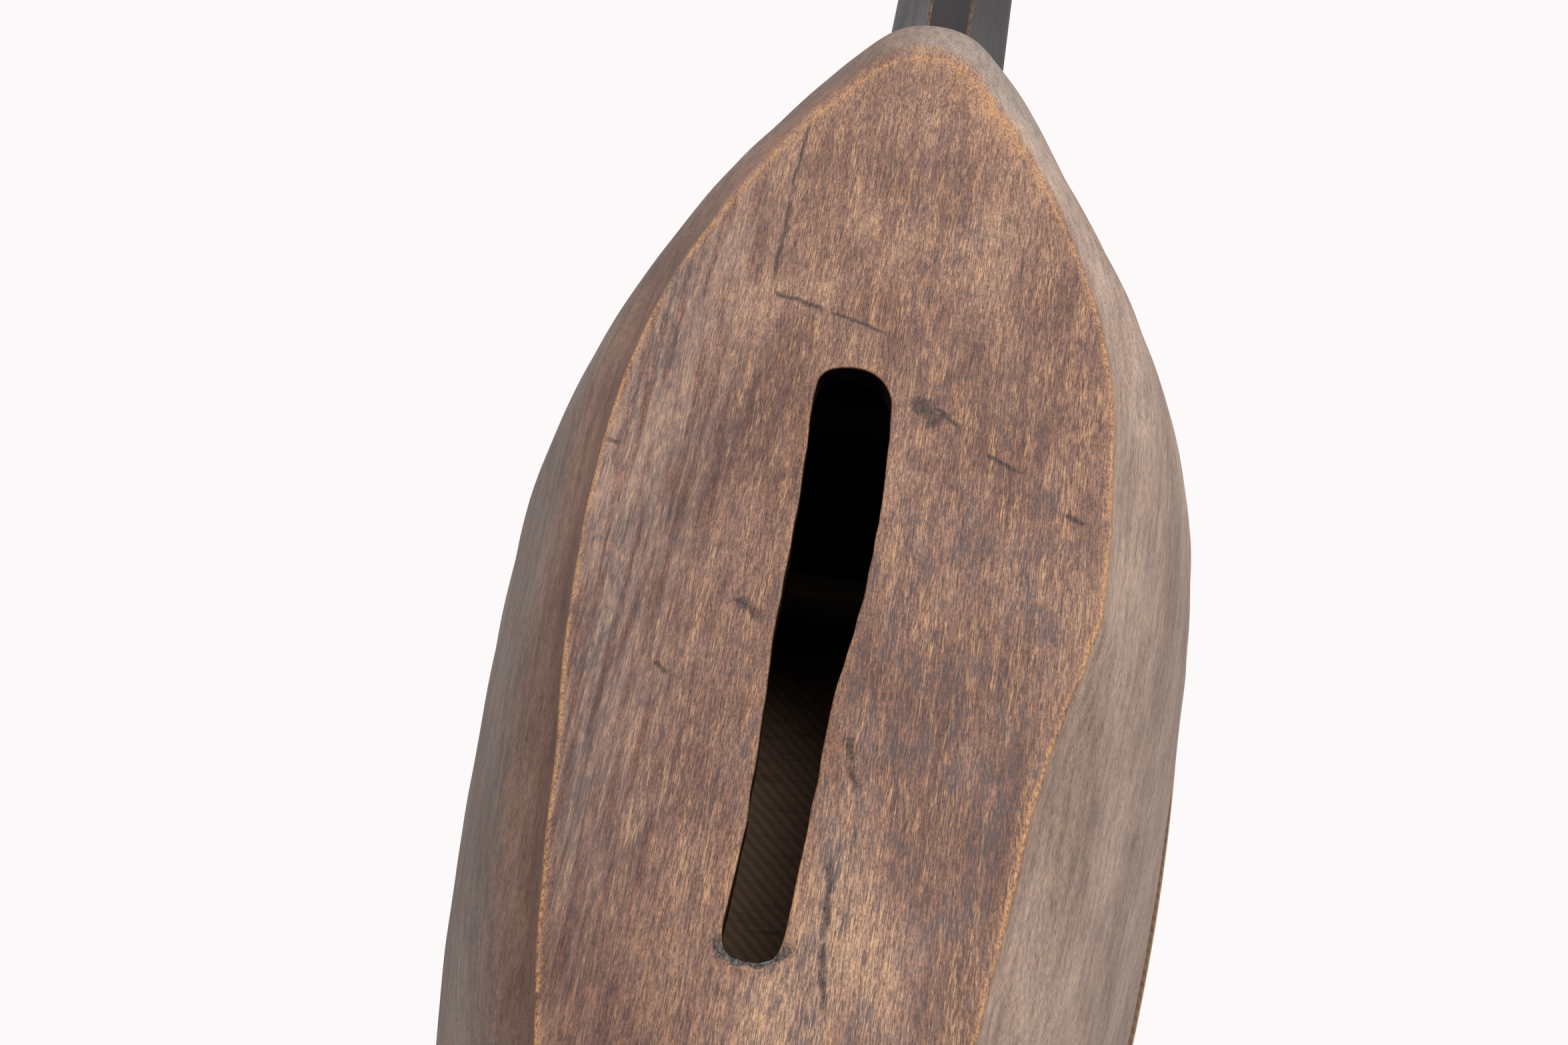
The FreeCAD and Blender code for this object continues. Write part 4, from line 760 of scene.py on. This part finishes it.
def bowl_rings():
    """All the rings of the bowl, from the rim up the outside, over the keel and back down the inside."""
    rings = []
    for depth in OUTER_DEPTHS:
        rings.append(in_space(bowl_ring(depth * MM), KEEL_Y - depth * MM))
    arris = bowl_ring(0.0)
    keel_edge = in_space(arris, KEEL_Y)
    rings.append(blend_rings(keel_edge, in_space(bowl_ring(0.35 * MM), KEEL_Y - 0.35 * MM), 0.75))
    rings.append(in_space([p * 0.9985 + Vector((0, 0.00026)) for p in arris], KEEL_Y - 0.10 * MM))
    slot_edge = in_space(slot_ring(0.45 * MM), KEEL_Y)
    for share in KEEL_SHARES:
        rings.append(blend_rings(keel_edge, slot_edge, share))
    rings.append(in_space(slot_ring(0.12 * MM), KEEL_Y - 0.12 * MM))
    inner_from = len(rings)
    for drop in SLOT_DROPS:
        rings.append(in_space(slot_ring(), KEEL_Y - drop * MM))
    under = in_space(slot_ring(0.5 * MM), KEEL_Y - KEEL_WALL)
    inner_keel = in_space(bowl_ring(KEEL_WALL, SIDE_WALL, TAIL_WALL, TIP_BLOCK), KEEL_Y - KEEL_WALL)
    for share in UNDER_SHARES:
        rings.append(blend_rings(under, inner_keel, share))
    for depth in INNER_DEPTHS:
        ring = bowl_ring(depth * MM, SIDE_WALL, TAIL_WALL, TIP_BLOCK)
        rings.append(in_space(ring, KEEL_Y - depth * MM))
    return rings, inner_from


bowl = rolled("carved_bowl", *bowl_rings())
subdivision = bowl.modifiers.new("finer", "SUBSURF")
subdivision.levels = subdivision.render_levels = 1
apply_all(bowl)
print("bowl faces", len(bowl.data.polygons))


# %% [markdown]
# A carved piece is never quite regular. Before the bowl is painted it is pushed about a little, as a
# knife and years of handling would: the keel is crowned by a millimetre, one edge of it pinches in
# below the middle, the walls are slightly hollow beside the edge, and everything waves by a few
# tenths of a millimetre. The distances that the paint needs are measured before that, while the
# shape is still exact.


# %% Paint the bowl, then carve it
KEEL_LEAF = [Vector((p.x, 0, p.y)) for p in bowl_ring(0.0)]
SLOT_LEAF = [Vector((p.x, 0, p.y)) for p in slot_ring()]


def finder(points):
    """Finds how far a place is from an outline, looking only at x and z."""
    fine = [a.lerp(b, k / 4) for a, b in zip(points, points[1:] + points[:1]) for k in range(4)]
    tree = KDTree(len(fine))
    for index, point in enumerate(fine):
        tree.insert(point, index)
    tree.balance()
    return lambda co: tree.find(Vector((co.x, 0, co.z)))[2]


from_arris = finder(KEEL_LEAF)
from_slot = finder(SLOT_LEAF)
SLOT_FOOT_Z = 56 * MM


def falls(distance, reach):
    return math.exp(-(distance / reach) ** 2)


def smooth_share(value, low, high):
    share = min(max((value - low) / (high - low), 0.0), 1.0)
    return share * share * (3 - 2 * share)


def keel_depth(co):
    return KEEL_Y - co.y


def half_width_at(z):
    """Half the keel's width at a height."""
    level = z - TAIL
    if level >= KEEL["tip"] or level <= KEEL["tail"]:
        return 1 * MM
    near = min(KEEL_LEAF, key=lambda p: abs(p.z - z) + (0 if p.x >= 0 else 1))
    return max(near.x, 1 * MM)


def wear_at(co):
    if keel_depth(co) > 6 * MM:
        return 0.0
    to_arris = math.hypot(from_arris(co), keel_depth(co))
    worn = 1.1 * falls(to_arris, 0.55 * MM) + 0.14 * falls(to_arris, 2.2 * MM)
    worn += 0.30 * falls(from_slot(co), 0.6 * MM) + 0.10 * falls(from_slot(co), 4 * MM)
    near_tip = falls((co - Vector((-15 * MM, KEEL_Y, TAIL + 294 * MM))).length, 19 * MM)
    on_keel = 1 - side_at(co)
    return min(worn + 0.6 * near_tip * on_keel * falls(to_arris, 5 * MM), 1.0)


def side_at(co):
    """1 on the walls outside the keel's edge, 0 on the keel."""
    return min(max((keel_depth(co) - 0.25 * MM) / (0.9 * MM), 0.0), 1.0)


def shade_below_edge_at(co):
    """1 in the shallow hollow just below the keel's edge, where the bowl's finish paints shade on one flank.
    """
    return falls(keel_depth(co), 13 * MM)


def chip_at(co):
    """1 where the lower end of the slot has broken away."""
    if keel_depth(co) > 3.5 * MM or co.z > SLOT_FOOT_Z + 6 * MM:
        return 0.0
    ragged = noise.noise(co * 420) * 1.1 * MM
    fade = 1 - smooth_share(co.z, SLOT_FOOT_Z + 1.5 * MM, SLOT_FOOT_Z + 5 * MM)
    return fade * falls(max(from_slot(co) - 1.5 * MM + ragged, 0.0), 0.8 * MM)


paint(bowl, "wear", wear_at)
paint(bowl, "side", side_at)
paint(bowl, "cove", shade_below_edge_at)
paint(bowl, "chip", chip_at)

CROWN = 1.3 * MM
COVE = 1.1 * MM
TIP_SWELL = 4.0 * MM
# How far the carver's edge and walls lie outside the drawn leaf, in millimetres, by height.
EDGE_OFF = {
    1: [(20, 0.6), (50, -0.1), (70, -0.8), (96, -1.2), (128, -0.4), (160, 0.5), (196, 0.0), (250, -0.1),
        (312, 0.2)],
    -1: [(20, -1.6), (47, -3.2), (61, -4.3), (77, -4.8), (93, -5.0), (108, -4.4), (121, -3.1), (134, -1.2),
         (147, 0.2), (160, 0.2), (189, -0.6), (225, 0.0), (262, -0.3), (290, -0.3), (303, -0.6), (312, 0.0)],
}
WALL_OFF = {
    1: [(60, 2.1), (85, 2.1), (110, 1.6), (140, 1.3), (165, 1.4), (190, 1.9), (203, 2.7), (216, 2.6),
        (230, 2.2), (265, 1.8), (289, 1.7), (303, 1.3), (318, 0.4)],
    -1: [(60, -1.8), (112, -1.7), (134, -1.1), (150, -0.3), (170, 0.5), (193, 1.2), (211, 1.9), (226, 2.8),
         (241, 2.9), (259, 1.9), (275, 0.7), (295, 0.0)],
}


def read_off(table, z):
    """A value from a table of (height, value), blended smoothly."""
    z /= MM
    for (low, first), (high, second) in zip(table, table[1:]):
        if z <= high:
            return (first + (second - first) * smooth_share(z, low, high)) * MM
    return table[-1][1] * MM


HALF_WIDTHS = [half_width_at(TAIL + k * MM) for k in range(360)]


def carved(co, inside):
    """Where a point of the exact bowl ends up on the carved one."""
    half = HALF_WIDTHS[min(max(int((co.z - TAIL) / MM), 0), len(HALF_WIDTHS) - 1)]
    depth = keel_depth(co)
    side = 1 if co.x > 0 else -1
    out = Vector(co)
    near_tip = smooth_share(co.z - TAIL, KEEL["tip"] - 30 * MM, KEEL["tip"])
    crown = max(min(abs(co.x) / half, 1.0) ** 2, near_tip)
    out.y -= CROWN * crown * (1 - smooth_share(depth, 0, 25 * MM))
    deep = smooth_share(depth, 3 * MM, 15 * MM)
    off = read_off(EDGE_OFF[side], co.z) * (1 - deep) + read_off(WALL_OFF[side], co.z) * deep
    off *= (1 - 0.8 * smooth_share(depth, 60 * MM, DEPTH)) * smooth_share(abs(co.x), 0, 14 * MM)
    if depth < 5.5 * MM:
        off *= smooth_share(abs(co.x) / half, 0.35, 1.0)
    out.x += side * off
    if inside < 0.5:
        swell = smooth_share(depth, 0, 8 * MM) * (1 - smooth_share(depth, 12 * MM, 50 * MM))
        out.z += TIP_SWELL * swell * smooth_share(co.z, TAIL + 290 * MM, TAIL + 315 * MM)
    if depth > 0.5 * MM and inside < 0.5:
        cove = COVE if side > 0 else COVE / 5
        out.x -= side * cove * falls(depth - 7 * MM, 5 * MM) * min(abs(co.x) / (20 * MM), 1.0)
    wave = noise.noise_vector(co * 22) * 0.5 * MM + noise.noise_vector(co * 80) * 0.12 * MM
    knife = noise.noise_vector(Vector((co.x * 240, co.y * 240, co.z * 60))) * 0.05 * MM
    wave.y *= 0.6
    wave.z *= 0.4
    out += wave + knife
    broken = chip_at(co)
    if broken > 0.01 and depth < 3 * MM:
        steep = 1 - 0.7 * smooth_share(from_slot(co), 0, 3 * MM)
        out.y -= broken * steep * (1.9 * MM + noise.noise(co * 700) * 0.9 * MM) * (1 - depth / (3 * MM))
    if from_slot(co) < 1.0 * MM and depth < KEEL_WALL:
        out.x += noise.noise(Vector((co.x * 60, 7, co.z * 160))) * 0.22 * MM
    return out


def cut_at_neck(piece):
    """Cuts a piece off flat where the neck starts."""
    with editing(piece):
        bpy.ops.mesh.bisect(plane_co=(0, 0, NECK_FLAT_Z), plane_no=(0, 0, 1), use_fill=True, clear_outer=True)


for vertex, painted_inside in zip(bowl.data.vertices, bowl.data.attributes["inside"].data):
    vertex.co = carved(vertex.co, painted_inside.value)
cut_at_neck(bowl)
smooth(bowl, 50)
hand_over(bowl, ["bowl"])


# %% [markdown]
# The soundboard is a thin plate, so it is rolled the same way: from the edge of the sound hole
# across the back to the outline, round the edge, and back across the front.


# %% Soundboard
BOARD_BACK_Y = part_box("soundboard")[1].y
DECK_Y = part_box("soundboard")[0].y
OVERHANG = 0.8 * MM
HOLE_RADIUS = 8 * MM
HOLE_Z = TAIL + 287 * MM


def hole_ring(grow):
    """The sound hole, point for point with the outline."""
    angles = [math.pi / 2 - 2 * math.pi * i / AROUND for i in range(AROUND)]
    radius = HOLE_RADIUS + grow
    return [Vector((math.cos(a) * radius, HOLE_Z + math.sin(a) * radius)) for a in angles]


def soundboard():
    edge = bowl_ring(DEPTH, -OVERHANG, -OVERHANG, -OVERHANG)
    ease = 0.35 * MM
    eased_edge = bowl_ring(DEPTH, -OVERHANG + ease, -OVERHANG + ease, -OVERHANG + ease)
    back_hole, back_edge = in_space(hole_ring(0), BOARD_BACK_Y), in_space(eased_edge, BOARD_BACK_Y)
    front_hole = in_space(hole_ring(ease), DECK_Y)
    front_edge = in_space(eased_edge, DECK_Y)
    shares = (0.02, 0.08, 0.2, 0.4, 0.6, 0.8, 0.92, 0.98)
    rings = [back_hole] + [blend_rings(back_hole, back_edge, share) for share in shares] + [back_edge]
    rings += [in_space(edge, BOARD_BACK_Y - ease), in_space(edge, DECK_Y + ease), front_edge]
    rings += [blend_rings(front_edge, front_hole, share) for share in shares] + [front_hole]
    rings.append(in_space(hole_ring(0), DECK_Y + ease))
    piece = rolled("soundboard_plate", rings, len(rings))
    edge_of = finder([Vector((p.x, 0, p.y)) for p in edge])

    def worn(co):
        to_hole = abs(math.hypot(co.x, co.z - HOLE_Z) - HOLE_RADIUS)
        return min(falls(edge_of(co), 5 * MM) * 0.6 + falls(to_hole, 4 * MM) * 0.7, 1.0)

    paint(piece, "wear", worn)
    for vertex, inside in zip(piece.data.vertices, piece.data.attributes["inside"].data):
        inside.value = 1.0 if vertex.co.y > BOARD_BACK_Y - 0.2 * MM else 0.0
    cut_at_neck(piece)
    smooth(piece, 40)
    return hand_over(piece, ["soundboard"])


soundboard()


# %% [markdown]
# The neck, head, fingerboard, bridge and the small bone pieces already have their true shape in the
# mechanical model. Each one is copied, its triangles are joined into whole faces, and its edges are
# rounded by a bevel. On the lacquered pieces the bevel carries the rubbed brown finish, which is how
# a lacquered edge wears.


# %% Neck, head and the small pieces
for node, name, width, segments, worn in (
    ("neck", "neck_shaft", 0.7 * MM, 3, "rubbed_lacquer"),
    ("head", "head_plate", 0.9 * MM, 3, "rubbed_lacquer"),
    ("head_veneer", "head_face", 0.35 * MM, 2, None),
    ("fingerboard", "fingerboard_plate", 0.18 * MM, 1, None),
    ("nut", "bone_nut", 0.25 * MM, 2, None),
    ("bridge", "bridge_arch", 0.8 * MM, 3, None),
    ("bridge_saddle", "bridge_bone", 0.25 * MM, 2, None),
    ("tail_saddle", "tail_bone", 0.5 * MM, 3, None),
):
    hand_over(eased(copy_of(node, name), width, segments, worn), [node])

for node in sorted(SLOT_OF):
    if node.startswith("fret_"):
        hand_over(eased(copy_of(node, node + "_wire"), 0.3 * MM, 3), [node])

for node in ("brace_upper", "brace_middle", "brace_lower"):
    hand_over(eased(copy_of(node, node + "_bar"), 0.6 * MM), [node])

hand_over(eased(copy_of("position_dots", "inlaid_dots"), 0.03 * MM, 1), ["position_dots"])


# %% [markdown]
# Pins and pegs are turned on a lathe. Here a disc is extruded step by step along its axis and scaled
# at each step, which gives the same rings that a lathe leaves.


# %% Turning
def turned(name, profile, sides=40):
    """A turned piece along +Z, from a list of (height, radius)."""
    nothing_selected()
    height, radius = profile[0]
    foot = (0, 0, height)
    bpy.ops.mesh.primitive_circle_add(vertices=sides, radius=radius, fill_type="NGON", location=foot)
    piece = bpy.context.object
    piece.name = name
    bpy.ops.object.transform_apply(location=True, rotation=False, scale=False)
    with editing(piece):
        for next_height, next_radius in profile[1:]:
            bpy.ops.mesh.extrude_region_move(TRANSFORM_OT_translate={"value": (0, 0, next_height - height)})
            grow = next_radius / radius
            bpy.ops.transform.resize(value=(grow, grow, 1), center_override=(0, 0, next_height))
            height, radius = next_height, next_radius
        bpy.ops.mesh.select_all(action="SELECT")
        bpy.ops.mesh.normals_make_consistent(inside=False)
    return piece


PIN_SPACING = 11 * MM
PIN_RADIUS = 2.0 * MM


def string_pins():
    """Three brass pins with domed heads, joined as one piece because the model holds them as one."""
    low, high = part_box("string_pins")
    pins = []
    head = 3.2 * MM
    profile = [(0.0, head * 0.45), (0.15 * MM, head * 0.8), (0.5 * MM, head), (1.2 * MM, head),
               (1.6 * MM, head * 0.9), (1.75 * MM, 2.05 * MM), (2.2 * MM, PIN_RADIUS), (high.z, PIN_RADIUS)]
    for side in (-1, 0, 1):
        pin = turned("pin", profile, 32)
        pin.data.transform(Matrix.Translation((side * PIN_SPACING, (low.y + high.y) / 2, 0)))
        pins.append(pin)
    joined = join(pins)
    joined.name = "brass_pins"
    smooth(joined, 40)
    return hand_over(joined, ["string_pins"])


string_pins()


# %% [markdown]
# A tuning peg is turned up to its stem, and its thumb piece is whittled flat and slightly hollowed so
# that it can be gripped. The thumb piece starts as a ball that is squashed and tapered; a voxel
# remesh then joins it to the turned part without a seam, as it is one piece of wood.


# %% Pegs
HEAD_THICK = 15 * MM
VENEER = 1.5 * MM
JOINTS = {joint["name"]: joint for joint in frame["record"]["behaviour"]["joints"]}


def peg_place(number):
    """The peg's own frame: its axis along +Y, the head's front face at y = 0."""
    joint = JOINTS["peg_%d_turn" % number]
    along = Vector(joint["axis"]).normalized()
    side = Vector((1, 0, 0))
    up = side.cross(along)
    turned_frame = Matrix((side, along, up)).transposed().to_4x4()
    return Matrix.Translation(joint["pos_m"]) @ turned_frame


def thumb_piece(stem_end):
    nothing_selected()
    bpy.ops.mesh.primitive_uv_sphere_add(segments=48, ring_count=32, radius=1.0)
    thumb = bpy.context.object
    half_wide, half_tall, half_thick = 9.3 * MM, 9.0 * MM, 3.0 * MM
    for vertex in thumb.data.vertices:
        x, y, z = vertex.co
        flare = 0.58 + 0.42 * min((z + 1) / 0.9, 1.0)
        hollow = 1 - 0.42 * math.exp(-((x / 0.55) ** 2 + ((z - 0.25) / 0.5) ** 2))
        square = (abs(x) ** 0.8) * math.copysign(1, x)
        vertex.co = Vector((square * flare * half_wide, y * hollow * half_thick, z * half_tall))
        vertex.co.z += stem_end + half_tall * 0.86
    return thumb


def peg(number):
    back = HEAD_THICK + 0.1 * MM
    front = -(VENEER + 12 * MM)
    profile = [(front, 2.4 * MM), (front + 0.4 * MM, 3.1 * MM), (front + 1.0 * MM, 3.4 * MM),
               (-(VENEER + 0.6 * MM), 3.4 * MM), (-(VENEER + 0.4 * MM), 3.9 * MM), (back, 3.9 * MM),
               (back + 0.1 * MM, 5.9 * MM), (back + 0.8 * MM, 6.5 * MM), (back + 1.9 * MM, 6.4 * MM),
               (back + 2.6 * MM, 5.4 * MM), (back + 3.0 * MM, 3.7 * MM), (back + 4.2 * MM, 2.9 * MM),
               (back + 5.6 * MM, 2.8 * MM), (back + 7.0 * MM, 3.2 * MM), (back + 9.0 * MM, 3.0 * MM)]
    shaft = turned("peg_%d_turned" % number, profile, 48)
    thumb = thumb_piece(back + 8.0 * MM)
    join([shaft, thumb])
    one_piece = shaft.modifiers.new("one_piece", "REMESH")
    one_piece.mode = "VOXEL"
    one_piece.voxel_size = 0.3 * MM
    soft = shaft.modifiers.new("soften", "SMOOTH")
    soft.iterations = 5
    soft.factor = 0.5
    apply_all(shaft)
    place = peg_place(number)
    upright = Matrix.Rotation(math.radians(-90), 4, "X")
    shaft.data.transform(place @ upright)
    smooth(shaft, 60)
    return hand_over(shaft, ["peg_%d" % number], body="peg_%d" % number)


for peg_number in (1, 2, 3):
    peg(peg_number)


# %% [markdown]
# A string is tight, so its run is straight from bearing to bearing. What makes it read as a real one
# is at its ends: a loop round the pin, twisted back on itself, and a few neat turns on the peg, the
# last of which goes into the hole. One curve follows all of that and is given a round section.


# %% Strings
STRING_RADIUS = 0.45 * MM
PEG_TIP_RADIUS = 3.4 * MM
WRAP_SIDE = {1: -1, 2: 1, 3: 1}
STRING_GAP = 0.05 * MM
NUT_SPACING = 9 * MM
NOTCH_DEPTH = 0.8 * MM
NUT_KINK = 3.5 * MM
LOOP_LEVEL = 2.8 * MM
TAIL_TURN_IN = 2.0 * MM
TAIL_TURN_UP = 1.6 * MM
WINDING_PLACE = 3.9 * MM
WINDING_PITCH = 0.93 * MM
WINDING_TURNS = 3.75
HOLE_TURNS = 3.9


def helix(centre, axis, start, turn, rise, turns, steps=20):
    """Points round an axis from a starting arm, rising as they go; turn is +1 or -1."""
    points = []
    for i in range(int(turns * steps) + 1):
        angle = turn * 2 * math.pi * i / steps
        arm = Matrix.Rotation(angle, 3, axis) @ start
        points.append(centre + arm + axis * rise * i / steps)
    return points


def bends(points, radius, steps=5):
    """The same route with each corner rounded."""
    out = [points[0]]
    for before, corner, after in zip(points, points[1:], points[2:]):
        into, away = (corner - before).normalized(), (after - corner).normalized()
        reach = min(radius * math.tan(into.angle(away) / 2), (corner - before).length / 3)
        start, end = corner - into * reach, corner + away * reach
        for i in range(steps + 1):
            share = i / steps
            out.append(start.lerp(corner, share).lerp(corner.lerp(end, share), share))
    return out + [points[-1]]


def string_route(number):
    side = number - 2
    pin_low, pin_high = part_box("string_pins")
    x = side * PIN_SPACING
    pin = Vector((x, (pin_low.y + pin_high.y) / 2, LOOP_LEVEL))
    tail_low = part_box("tail_saddle")[0]
    crest_low, crest_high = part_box("bridge_saddle")
    nut_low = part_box("nut")[0]
    gap = STRING_RADIUS + STRING_GAP
    notch = NOTCH_DEPTH - gap
    front = Vector((0, -(PIN_RADIUS + gap), 0))

    run = [
        pin + front,
        Vector((x, tail_low.y + TAIL_TURN_IN, tail_low.z - gap)),
        Vector((x, tail_low.y - gap, tail_low.z + TAIL_TURN_UP)),
        Vector((x, crest_low.y + notch, (crest_low.z + crest_high.z) / 2)),
        Vector((side * NUT_SPACING, nut_low.y + notch, nut_low.z + NUT_KINK)),
    ]
    place = peg_place(number)
    along = place.to_3x3() @ Vector((0, 1, 0))
    winding = PEG_TIP_RADIUS + STRING_RADIUS + STRING_GAP
    wrap = WRAP_SIDE[number]
    first = place.to_3x3() @ Vector((wrap * winding, 0, 0))
    hub = place @ Vector((0, -(VENEER + WINDING_PLACE), 0))
    turns = helix(hub, along, first, -wrap, -WINDING_PITCH, WINDING_TURNS)
    hole = place @ Vector((0, -(VENEER + WINDING_PLACE + HOLE_TURNS * WINDING_PITCH), 0))
    run.append(turns[0])
    run = bends(run, 3 * STRING_RADIUS)

    # The loop goes once round the pin, then back along the run and round it.
    down = Vector((0, 0, 1))
    loop = helix(pin, down, front, 1, 0.0, 1.0, 24)[:-1]
    toward = (run[1] - run[0]).normalized()
    arm = down.cross(toward).normalized() * STRING_RADIUS * 2
    twist = helix(pin + front + toward * 1.5 * MM, toward, arm, 1, 0.95 * MM, 5.0, 12)
    return list(reversed(twist)) + loop + run[:-1] + turns + [turns[-1].lerp(hole, 0.6), hole]


def string(number):
    route = string_route(number)
    nothing_selected()
    bpy.ops.curve.primitive_nurbs_path_add()
    wire = bpy.context.object
    wire.name = "string_%d_wire" % number
    wire.data.splines.clear()
    line = wire.data.splines.new("POLY")
    line.points.add(len(route) - 1)
    for point, place in zip(line.points, route):
        point.co = (*place, 1)
    wire.data.dimensions = "3D"
    wire.data.bevel_depth = STRING_RADIUS
    wire.data.bevel_resolution = 3
    wire.data.use_fill_caps = True
    work_on(wire)
    bpy.ops.object.transform_apply(location=True, rotation=True, scale=True)
    bpy.ops.object.convert(target="MESH")
    smooth(bpy.context.object, 60)
    return hand_over(bpy.context.object, ["string_%d" % number])


for string_number in (1, 2, 3):
    string(string_number)


# %% [markdown]
# The bowl is looked at from behind and below, past the tail towards the neck, with the camera rolled
# a little. The light is a white studio: bright all round, with a large soft source above. The floor
# is far below, because the instrument is held up to show its back.


# %% Camera, light and floor
AIM = Vector((12.06 * MM, KEEL_Y, TAIL + 152.96 * MM))
DISTANCE = 577 * MM
BELOW = math.radians(44.77)
ASIDE = math.radians(3.706)
ROLL = math.radians(10.99)
LENS = 69.35


def camera():
    back = Vector((-math.sin(ASIDE), math.cos(BELOW) * math.cos(ASIDE), -math.sin(BELOW) * math.cos(ASIDE)))
    right = (-back).cross(Vector((0, 0, 1))).normalized()
    up = right.cross(-back)
    right, up = (right * math.cos(ROLL) + up * math.sin(ROLL),
                 up * math.cos(ROLL) - right * math.sin(ROLL))
    made = bpy.data.objects.new("camera", bpy.data.cameras.new("camera"))
    bpy.context.scene.collection.objects.link(made)
    turn = Matrix((right, up, back)).transposed().to_4x4()
    made.matrix_world = Matrix.Translation(AIM + back * DISTANCE) @ turn
    made.data.lens = LENS
    made.data.sensor_width = 36.0
    made.data.clip_start = 0.01
    bpy.context.scene.camera = made


def area_light(name, place, at, size, power, colour=(1, 1, 1)):
    made = bpy.data.objects.new(name, bpy.data.lights.new(name, "AREA"))
    bpy.context.scene.collection.objects.link(made)
    made.data.energy = power
    made.data.color = colour
    made.data.shape = "DISK"
    made.data.size = size
    made.location = place
    made.rotation_mode = "QUATERNION"
    made.rotation_quaternion = (Vector(at) - Vector(place)).to_track_quat("-Z", "Y")


def studio():
    nothing_selected()
    bpy.ops.mesh.primitive_plane_add(size=12, location=(0, 0, -0.6))
    floor = bpy.context.object
    floor.name = "floor"
    made, tree, shader = new_material("pale_floor", roughness=0.7)
    shader.inputs["Base Color"].default_value = (0.82, 0.815, 0.81, 1)
    floor.data.materials.append(made)
    world = bpy.data.worlds.new("studio")
    bpy.context.scene.world = world
    world.use_nodes = True
    tree = world.node_tree
    direction = tree.nodes.new("ShaderNodeTexCoord").outputs["Generated"]
    split = tree.nodes.new("ShaderNodeSeparateXYZ")
    tree.links.new(direction, split.inputs["Vector"])
    # The sides and the floor of the studio are dimmer than its ceiling and back wall.
    aside = window(tree, sums(tree, "ABSOLUTE", split.outputs["X"]), 0.35, 0.85)
    below = window(tree, split.outputs["Z"], 0.1, -0.7)
    dim = flipped(tree, times(tree, aside, 0.42))
    dim = times(tree, dim, flipped(tree, times(tree, below, 0.50)))
    background = tree.nodes["Background"]
    background.inputs["Color"].default_value = (1.0, 0.965, 0.970, 1)
    tree.links.new(times(tree, dim, 0.985), background.inputs["Strength"])
    area_light("key", (-0.45, 1.5, 0.75), (0, 0, 0.2), 0.8, 22, (1.0, 0.985, 0.96))
    bpy.context.scene.view_settings.view_transform = "Standard"


camera()
studio()
